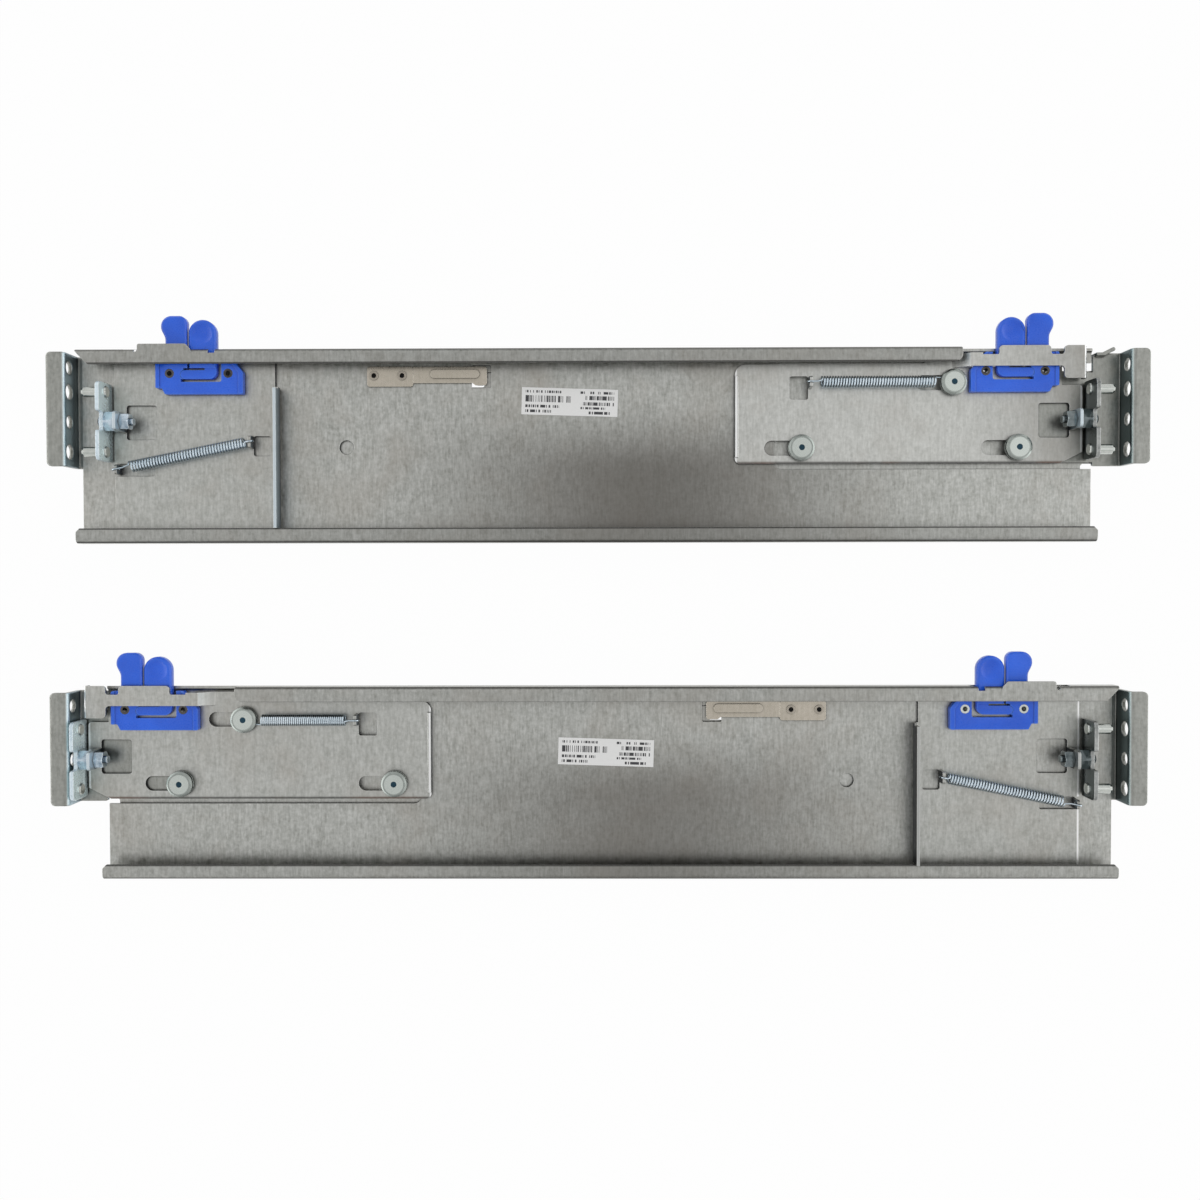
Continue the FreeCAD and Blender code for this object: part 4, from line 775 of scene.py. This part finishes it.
# Painted lit and shaded copies of the ear, pin bracket and bolt finishes.
LIT_EAR = BentZinc("painted_lit_ear", (0.38, 0.385, 0.36), (0.26, 0.265, 0.245), 0.34, 0.06, across=700.0,
                      along=160.0, edge=0.0016, edge_highlight=0.5, painted_wall_tone=(0.46, 0.58, 0.64), bend=0.2764)
SHADED_EAR = BentZinc("painted_shaded_ear", (0.38, 0.385, 0.36), (0.26, 0.265, 0.245), 0.36, 0.06, across=700.0,
                    along=160.0, edge=0.0008, painted_wall_tone=(0.20, 0.27, 0.28))
LIT_BRACKET = BentZinc("painted_lit_bracket", (0.80, 0.92, 0.98), (0.56, 0.68, 0.76), 0.28, 0.08, 0.5,
                          across=70.0, along=60.0, bump=0.01, edge=0.0006, painted_wall_tone=(0.82, 0.98, 1.0), foot=0.008,
                          head=0.030, crevice_shade=0.7, edge_highlight=0.6, rim=0.0008)
SHADED_BRACKET = BentZinc("painted_shaded_bracket", (0.42, 0.43, 0.42), (0.16, 0.17, 0.165), 0.30, 0.08, across=70.0,
                        along=60.0, bump=0.01, edge=0.0005, painted_wall_tone=(0.13, 0.155, 0.155), foot=0.012, head=0.034,
                        edge_highlight=0.6)
LIT_BOLT = Finish("painted_lit_bolt", (0.75, 0.86, 0.95), (0.07, 0.13, 0.19), 0.14, 0.05, across=180.0,
                     along=180.0, bump=0.01, reach=0.0022, edge_highlight=0.7, rim=0.0008)
SHADED_BOLT = Finish("painted_shaded_bolt", (0.30, 0.34, 0.35), (0.03, 0.045, 0.05), 0.16, 0.05, across=180.0,
                   along=180.0, bump=0.01, reach=0.0022, edge_highlight=0.6, rim=0.0008)
EYELET = Finish("eyelet", (0.13, 0.12, 0.12), (0.03, 0.03, 0.03), 0.24, 0.06, across=500.0, along=500.0, edge_highlight=0.2)
LEAF_EYELET = replace(EYELET, name="leaf_eyelet", light=(0.44, 0.40, 0.34), dark=(0.30, 0.27, 0.23),
                      roughness=0.28, reach=0.0026, crevice_shade=0.98)
# A dark disc of painted shade for a screw's hexagon recess.
RECESS_SHADE = replace(EYELET, name="recess_shade", light=(0.020, 0.060, 0.090), dark=(0.010, 0.030, 0.045),
                 roughness=0.30, crevice_shade=0.3, edge_highlight=0.1)
# A dark disc of painted shade for an eyelet's bore.
BORE_SHADE = replace(EYELET, name="eyelet_bore_shade", light=(0.020, 0.019, 0.018), dark=(0.010, 0.010, 0.010),
               roughness=0.45, crevice_shade=0.2, edge_highlight=0.0)
SCREW_CAP = replace(EYELET, name="screw_cap", light=(0.27, 0.295, 0.28), dark=(0.18, 0.20, 0.19),
                    roughness=0.32, edge_highlight=0.4)
BLUE = Moulded("blue_plastic", (0.024, 0.155, 0.92), (0.018, 0.118, 0.76), 0.28, 0.05, metallic=0.0, edge=0.0005,
               crevice_shade=0.60, edge_highlight=0.55, rim=0.0013)
LEAF = Finish("leaf_steel", (0.58, 0.53, 0.455), (0.40, 0.365, 0.30), 0.28, 0.07, across=900.0, along=60.0,
              reach=0.0016, crevice_shade=0.95)
FASTENER = Finish("plated_fastener", (0.38, 0.41, 0.385), (0.25, 0.275, 0.26), 0.28, 0.07, across=700.0,
                  along=700.0, edge_highlight=0.6)
PIN = Finish("pin_steel", (0.66, 0.68, 0.64), (0.42, 0.45, 0.43), 0.22, 0.06, across=60.0, along=900.0, edge_highlight=0.2)
WIRE = Finish("spring_wire", (0.66, 0.73, 0.78), (0.42, 0.50, 0.56), 0.11, 0.04, across=900.0, along=900.0,
              edge=0.0001, reach=0.0008, crevice_shade=0.97, edge_highlight=0.0)
SLIDE = Finish("slide_steel", (0.60, 0.61, 0.63), (0.48, 0.495, 0.52), 0.32, 0.07, across=60.0, along=700.0)


# ------------------------------------------------------------------ modelling helpers
def rest_selection() -> None:
    """Leave edit mode and deselect everything."""
    if bpy.context.object and bpy.context.object.mode != "OBJECT":
        bpy.ops.object.mode_set(mode="OBJECT")
    bpy.ops.object.select_all(action="DESELECT")


def pick(piece: bpy.types.Object) -> None:
    """Make a piece the only selected one, and the active one.

    Args:
        piece: The piece to select.
    """
    rest_selection()
    piece.select_set(True)
    bpy.context.view_layer.objects.active = piece


def settle(piece: bpy.types.Object) -> None:
    """Move a piece's place, turn and size into its mesh."""
    pick(piece)
    bpy.ops.object.transform_apply(location=True, rotation=True, scale=True)


def dress(piece: bpy.types.Object, finish: Finish) -> None:
    """Give a piece one finish all over."""
    piece.data.materials.clear()
    piece.data.materials.append(finish.material())


def report(piece: bpy.types.Object) -> None:
    """Log a new piece's name and its number of faces."""
    LOG.info("%s has %d faces", piece.name, len(piece.data.polygons))


def round_edges(piece: bpy.types.Object, width: float, steps: int, angle: float) -> None:
    """Round the edges of a piece.

    Args:
        piece: The piece to round.
        width: The width of the rounding.
        steps: The number of faces across it.
        angle: The angle above which an edge is rounded, in degrees.
    """
    pick(piece)
    bevel = piece.modifiers.new("rounding", "BEVEL")
    bevel.width = width
    bevel.segments = steps
    bevel.limit_method = "ANGLE"
    bevel.angle_limit = math.radians(angle)
    bpy.ops.object.modifier_apply(modifier=bevel.name)


@dataclass(frozen=True)
class RailFrame:
    """Places points given in a left-hand rail's own frame on either rail of the pair."""

    side: Side
    half_height: float = 0.0515
    rear_reach: float = 0.2766

    def middle(self) -> Spot:
        """Find the rail's own origin.

        Returns:
            Its X and Y in the frame of the pair.
        """
        low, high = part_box(f"{self.side.value}_rail_channel")
        start = low.x if self.side is Side.LEFT else high.x
        return start + self.side.sign * self.rear_reach, low.y + self.half_height

    def point(self, x: float, y: float, z: float) -> Vector:
        """Return a point of the left-hand rail's frame in the frame of the pair."""
        middle_x, middle_y = self.middle()
        return Vector((middle_x + self.side.sign * x, middle_y + y, z))


# ------------------------------------------------------------------ sub-assemblies
@dataclass
class MouldedLatch:
    """A latch body and its squeeze finger, softened like a moulding."""

    side: Side
    end: End
    rounding: float = 0.0006
    steps: int = 3
    sharp: float = 38.0
    smooth: float = 35.0
    flat: float = 1.0
    merge: float = 0.00001

    def soften(self, part: str, body: str) -> None:
        """Make a softened copy of one latch piece that stands for its node.

        Args:
            part: The last words of the node's name.
            body: The last words of the body's name.
        """
        name = f"{self.side.value}_{self.end.value}_{part}"
        pick(bpy.data.objects[name])
        bpy.ops.object.duplicate()
        copy = bpy.context.object
        copy.name = f"{name}_moulding"
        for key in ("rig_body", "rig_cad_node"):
            if key in copy:
                del copy[key]
        copy.parent = None
        pick(copy)
        bpy.ops.object.mode_set(mode="EDIT")
        bpy.ops.mesh.select_all(action="SELECT")
        bpy.ops.mesh.remove_doubles(threshold=self.merge)
        bpy.ops.mesh.customdata_custom_splitnormals_clear()
        bpy.ops.mesh.dissolve_limited(angle_limit=math.radians(self.flat))
        bpy.ops.object.mode_set(mode="OBJECT")
        round_edges(copy, self.rounding, self.steps, self.sharp)
        bpy.ops.object.shade_smooth_by_angle(angle=math.radians(self.smooth))
        dress(copy, BLUE)
        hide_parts(name)
        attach(copy, f"{self.side.value}_{self.end.value}_{body}")
        report(copy)

    def build(self) -> None:
        """Build both pieces of the latch."""
        self.soften("latch_body", "carrier")
        self.soften("latch_finger", "finger")


@dataclass
class DrawSpring:
    """A wound draw spring with an end loop over each hook, wound in place from one hook to the other."""

    side: Side
    end: End
    anchors: tuple[str, str]
    coil_start: Point
    coil_end: Point
    first_loop: Point
    last_loop: Point
    first_radius: float = 0.0019
    last_radius: float = 0.0019
    flat_last: bool = False
    turns: int = 41
    steps: int = 14
    loop_steps: int = 24
    loop_tip: float = -140.0
    wire: float = 0.00047
    coil_radius: float = 0.0029
    smooth: float = 50.0

    def loop(self, centre: Vector, outward: Vector, across: Vector, radius: float, rise: float) -> list[Vector]:
        """Return the points of an end loop, from its free tip to where it meets the coil.

        Args:
            centre: The loop's middle.
            outward: The direction away from the coil.
            across: The direction towards the side where the wire joins the coil.
            radius: The loop's radius.
            rise: How far across the wire reaches the loop.

        Returns:
            The points.
        """
        meet = math.pi - math.asin(min(1.0, rise / radius))
        tip = math.radians(self.loop_tip)
        angles = [tip + (meet - tip) * index / self.loop_steps for index in range(self.loop_steps + 1)]
        return [centre + radius * (math.cos(angle) * outward + math.sin(angle) * across) for angle in angles]

    def route(self, frame: RailFrame) -> list[Vector]:
        """Return the points that the wire follows.

        Args:
            frame: The frame of the rail that the spring belongs to.

        Returns:
            The points, from the tip of the first loop to the tip of the last.
        """
        start, end, first, last = (frame.point(*place) for place in
                                   (self.coil_start, self.coil_end, self.first_loop, self.last_loop))
        along = (end - start).normalized()
        up = Vector((0.0, 0.0, 1.0))
        side = up.cross(along).normalized()
        points = self.loop(first, -along, up, self.first_radius, self.coil_radius - (first.z - start.z))
        drop = last.z - end.z
        final = math.acos(max(-1.0, drop / self.coil_radius)) if self.flat_last else 0.0
        count = self.turns * self.steps
        for index in range(count + 1):
            share = index / count
            angle = share * (math.tau * self.turns + final)
            points.append(start.lerp(end, share) + self.coil_radius * (math.cos(angle) * up + math.sin(angle) * side))
        across = side if self.flat_last else up
        rise = self.coil_radius * math.sin(final) if self.flat_last else self.coil_radius - drop
        points.extend(reversed(self.loop(last, along, across, self.last_radius, rise)))
        return points

    def build(self) -> None:
        """Wind the spring."""
        frame = RailFrame(self.side)
        node = f"{self.side.value}_{self.end.value}_spring"
        rest_selection()
        bpy.ops.curve.primitive_nurbs_path_add()
        wire = bpy.context.object
        wire.name = f"{node}_wire"
        curve = wire.data
        curve.splines.clear()
        points = self.route(frame)
        spline = curve.splines.new("NURBS")
        spline.points.add(len(points) - 1)
        for slot, point in zip(spline.points, points):
            slot.co = (*point, 1.0)
        spline.order_u = 3
        spline.use_endpoint_u = True
        spline.resolution_u = 1
        curve.resolution_u = 1
        curve.dimensions = "3D"
        curve.bevel_depth = self.wire
        curve.bevel_resolution = 2
        curve.use_fill_caps = True
        pick(wire)
        bpy.ops.object.convert(target="MESH")
        wire = bpy.context.object
        bpy.ops.object.shade_smooth_by_angle(angle=math.radians(self.smooth))
        settle(wire)
        dress(wire, WIRE)
        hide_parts(node)
        tuple(frame.point(*self.coil_start))
        tuple(frame.point(*self.coil_end))
        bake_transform(wire)
        report(wire)


@dataclass
class PaperLabel:
    """The white label on the web of a channel."""

    side: Side
    middle: Spot
    turn: float = math.radians(-1.8)
    size: Point = (0.0516, 0.0146, 0.00012)
    level: float = 0.0160
    corner: float = 0.0008
    corner_steps: int = 4
    sharp: float = 30.0

    def build(self) -> None:
        """Cut the label and lay it on the web."""
        centre = RailFrame(self.side).point(*self.middle, self.level + self.size[2] / 2)
        rest_selection()
        bpy.ops.mesh.primitive_cube_add(size=1.0, location=centre, rotation=(0.0, 0.0, self.turn))
        label = bpy.context.object
        label.name = f"{self.side.value}_rail_label"
        label.scale = self.size
        settle(label)
        round_edges(label, self.corner, self.corner_steps, self.sharp)
        paper = LabelPaper(f"{self.side.value}_label_paper", (0.95, 0.95, 0.94), (0.90, 0.90, 0.89), 0.40, 0.06,
                           metallic=0.0, edge=0.00005, bump=0.03, middle=(centre.x, centre.y), turn=self.turn)
        dress(label, paper)
        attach(label, f"{self.side.value}_rail")
        report(label)


@dataclass
class ThinDisc:
    """A thin disc that lies level on a body, used for plated steel screw caps and for dark discs of painted shade."""

    name: str
    body: str
    finish: Finish
    centre: Vector
    radius: float
    sides: int
    turn: float = 0.0
    thick: float = 0.00012

    def build(self) -> None:
        """Cut the disc and let it ride on its body."""
        rest_selection()
        bpy.ops.mesh.primitive_cylinder_add(vertices=self.sides, radius=self.radius, depth=self.thick,
                                            location=self.centre, rotation=(0.0, 0.0, self.turn))
        disc = bpy.context.object
        disc.name = self.name
        settle(disc)
        dress(disc, self.finish)
        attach(disc, self.body)
        report(disc)


@dataclass
class ScrewHead:
    """The pale cap on the head of a shoulder screw, and a dark hexagon of painted shade where its recess is."""

    side: Side
    number: int
    cap_radius: float = 0.0052
    recess_radius: float = 0.0027
    cap_sides: int = 40
    recess_sides: int = 6
    cap_level: float = 0.02206
    recess_level: float = 0.02218
    turn: float = 0.3

    def build(self) -> None:
        """Lay the cap and the hexagon of painted shade on the head."""
        frame = RailFrame(self.side)
        discs = (("cap", SCREW_CAP, self.cap_radius, self.cap_sides, self.cap_level),
                 ("recess_shade", RECESS_SHADE, self.recess_radius, self.recess_sides, self.recess_level))
        for part, finish, radius, sides, level in discs:
            ThinDisc(f"{self.side.value}_screw_{part}_{self.number}", "bases", finish,
                     frame.point(*SCREW_SPOTS[self.number], level), radius, sides, self.turn * self.number).build()


@dataclass
class EyeletBore:
    """A dark disc of painted shade at the bottom of an eyelet in the release leaf."""

    side: Side
    number: int
    radius: float = 0.00128
    level: float = 0.0165
    sides: int = 24

    def build(self) -> None:
        """Close the eyelet's bore with the disc of painted shade."""
        centre = RailFrame(self.side).point(*LEAF_SPOTS[self.number], self.level)
        ThinDisc(f"{self.side.value}_leaf_bore_{self.number}", f"{self.side.value}_rail", BORE_SHADE, centre,
                 self.radius, self.sides).build()


@dataclass
class Rail:
    """One rail of the pair with every finish and every dressed piece."""

    side: Side
    front_shift: float
    label: Spot

    def finishes(self) -> dict[str, Finish]:
        """Choose a finish for every node of the rail.

        Returns:
            The finishes, by the last words of the nodes' names.
        """
        # Ears, pin brackets and bracket bolts take a painted lit copy of their finish at one end and a painted shaded
        # copy at the other.
        bright = {"ear": LIT_EAR, "pin_bracket": LIT_BRACKET, "bracket_bolt": LIT_BOLT}
        dark = {"ear": SHADED_EAR, "pin_bracket": SHADED_BRACKET, "bracket_bolt": SHADED_BOLT}
        found: dict[str, Finish] = {
            "rail_channel": CHANNELS[self.side], "guide_tracks": GALVANISED, "slide_base": GALVANISED,
            "rear_carrier_plate": REAR_CARRIERS[self.side], "front_carrier_plate": FRONT_CARRIERS[self.side],
            "leaf_mount": LEAF, "leaf_tongue": LEAF, "leaf_rivets": LEAF_EYELET, "shoulder_screws": FASTENER,
            "slide_outer": SLIDE, "slide_middle": SLIDE, "slide_inner": SLIDE,
            "outer_ball_cage": FASTENER, "inner_ball_cage": FASTENER,
        }
        lit_end = End.REAR if self.side is Side.LEFT else End.FRONT
        for end in End:
            for part, finish in (bright if end is lit_end else dark).items():
                found[f"{end.value}_{part}"] = finish
            for part in ("latch_body", "latch_finger"):
                found[f"{end.value}_{part}"] = BLUE
            found[f"{end.value}_pins"] = PIN
            found[f"{end.value}_latch_rivets"] = PIN if (self.side, end) == (Side.RIGHT, End.REAR) else EYELET
            found[f"{end.value}_spring"] = WIRE
        return found

    def springs(self) -> tuple[DrawSpring, DrawSpring]:
        """Lay out the rail's two springs.

        Returns:
            The rear spring, and the front one, which is drawn to a screw's neck.
        """
        side = self.side.value
        screw_x, screw_y = SCREW_SPOTS[-1]
        rear = DrawSpring(
            self.side, End.REAR, anchors=(f"{side}_rail", f"{side}_rear_carrier"),
            coil_start=(-0.2487, -0.0105, COIL_LEVEL), coil_end=(-0.1872, 0.0020, COIL_LEVEL),
            first_loop=(-0.2560, -0.0120, HOOK_LEVEL), last_loop=(-0.1845, 0.0025, HOOK_LEVEL))
        front = DrawSpring(
            self.side, End.FRONT, anchors=(f"{side}_front_carrier", "bases"),
            coil_start=(0.1192 + self.front_shift, screw_y, COIL_LEVEL), coil_end=(0.1795, screw_y, COIL_LEVEL),
            first_loop=(0.1137 + self.front_shift, screw_y, HOOK_LEVEL), last_loop=(screw_x, screw_y, NECK_LEVEL),
            last_radius=0.0049, flat_last=True)
        return rear, front

    def build(self) -> None:
        """Dress the rail's nodes and build its new pieces."""
        for part, finish in self.finishes().items():
            dress(bpy.data.objects[f"{self.side.value}_{part}"], finish)
        for end in End:
            MouldedLatch(self.side, end).build()
        for spring in self.springs():
            spring.build()
        PaperLabel(self.side, self.label).build()
        for number in range(len(SCREW_SPOTS)):
            ScrewHead(self.side, number).build()
        for number in range(len(LEAF_SPOTS)):
            EyeletBore(self.side, number).build()
        LOG.info("%s rail is dressed", self.side.value)


@dataclass(frozen=True)
class SoftBox:
    """A rectangular lamp aimed at the middle of the pair."""

    name: str
    place: Point
    wide: float
    tall: float
    power: float

    def hang(self) -> None:
        """Hang the lamp."""
        rest_selection()
        bpy.ops.object.light_add(type="AREA", location=self.place)
        lamp = bpy.context.object
        lamp.name = self.name
        lamp.data.shape = "RECTANGLE"
        lamp.data.size = self.wide
        lamp.data.size_y = self.tall
        lamp.data.energy = self.power
        lamp.rotation_euler = (-Vector(self.place)).to_track_quat("-Z", "Y").to_euler()


SOFT_BOXES = (
    SoftBox("left_soft_box", (-1.05, 0.10, 1.15), 0.8, 1.5, 0.5),
    SoftBox("right_soft_box", (1.05, 0.10, 1.15), 0.8, 1.5, 1.2),
    SoftBox("top_soft_box", (0.0, 1.30, 1.05), 1.6, 0.6, 0.9),
)


@dataclass
class Studio:
    """The pale floor, the soft lamps, the sky and the camera."""

    camera_place: Point = (0.0066, 0.0119, 0.648)
    camera_turn: Point = (-0.02113, 0.00781, -0.00194)
    lens: float = 35.25
    sensor: float = 36.0
    near_clip: float = 0.01
    floor_level: float = -0.0004
    floor_size: float = 8.0
    floor_tone: Colour = (0.82, 0.82, 0.82)
    floor_glow: float = 0.975
    sky_fill: float = 0.66
    sky_zenith: float = 0.77
    sky_sides: float = 0.34
    sky_ends: float = 2.6

    def floor(self) -> None:
        """Lay a pale floor that keeps a faint shadow."""
        rest_selection()
        bpy.ops.mesh.primitive_plane_add(size=self.floor_size, location=(0.0, 0.0, self.floor_level))
        floor = bpy.context.object
        floor.name = "studio_floor"
        material = bpy.data.materials.new("studio_floor")
        material.use_nodes = True
        material.node_tree.nodes.clear()
        graph = Graph(material.node_tree)
        paint = graph.add("ShaderNodeBsdfDiffuse", Color=self.floor_tone)
        glow = graph.add("ShaderNodeEmission", Color=WHITE)
        path = graph.add("ShaderNodeLightPath").outputs
        seen = graph.math("MAXIMUM", path["Is Camera Ray"], path["Is Glossy Ray"])
        both = graph.add("ShaderNodeMixShader")
        for index, socket in enumerate((graph.times(seen, self.floor_glow), paint.outputs[0], glow.outputs[0])):
            graph.feed(both.inputs[index], socket)
        graph.add("ShaderNodeOutputMaterial", Surface=both.outputs[0])
        floor.data.materials.append(material)

    def sky(self) -> None:
        """Light the scene from all round; mirrored, the sky is brightest low at the rails' ends."""
        world = bpy.data.worlds.new("studio_sky")
        bpy.context.scene.world = world
        world.use_nodes = True
        world.node_tree.nodes.clear()
        graph = Graph(world.node_tree)
        parts = graph.split(graph.place("Generated"))
        height = graph.math("ABSOLUTE", parts[2])
        ends = graph.spread(graph.math("ABSOLUTE", parts[0]), self.sky_sides, self.sky_ends, 0.25, 0.90)
        mirrored = graph.mix(graph.spread(height, 1.0, 0.0, 0.20, 0.72), self.sky_zenith, ends)
        path = graph.add("ShaderNodeLightPath").outputs
        plain = graph.mix(path["Is Glossy Ray"], self.sky_fill, mirrored)
        seen = graph.math("MAXIMUM", path["Is Camera Ray"], path["Is Transmission Ray"])
        shade = graph.add("ShaderNodeBackground", Color=WHITE, Strength=graph.mix(seen, plain, 1.0))
        graph.add("ShaderNodeOutputWorld", Surface=shade.outputs[0])

    def camera(self) -> None:
        """Set the camera square above the pair."""
        rest_selection()
        bpy.ops.object.camera_add(location=self.camera_place, rotation=self.camera_turn)
        camera = bpy.context.object
        camera.name = "studio_camera"
        camera.data.lens = self.lens
        camera.data.sensor_width = self.sensor
        camera.data.clip_start = self.near_clip
        bpy.context.scene.camera = camera

    def build(self) -> None:
        """Build the studio."""
        self.floor()
        self.sky()
        for box in SOFT_BOXES:
            box.hang()
        self.camera()
        bpy.context.scene.view_settings.view_transform = "Standard"


PAIR = (
    Rail(Side.LEFT, front_shift=0.0, label=(-0.0144, 0.0240)),
    Rail(Side.RIGHT, front_shift=0.0155, label=(-0.0047, 0.0152)),
)


def main() -> None:
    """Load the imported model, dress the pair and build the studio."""
    logging.basicConfig(level=logging.INFO, format="%(name)s: %(message)s")
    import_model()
    for rail in PAIR:
        rail.build()
    Studio().build()


if __name__ == "__main__":
    main()
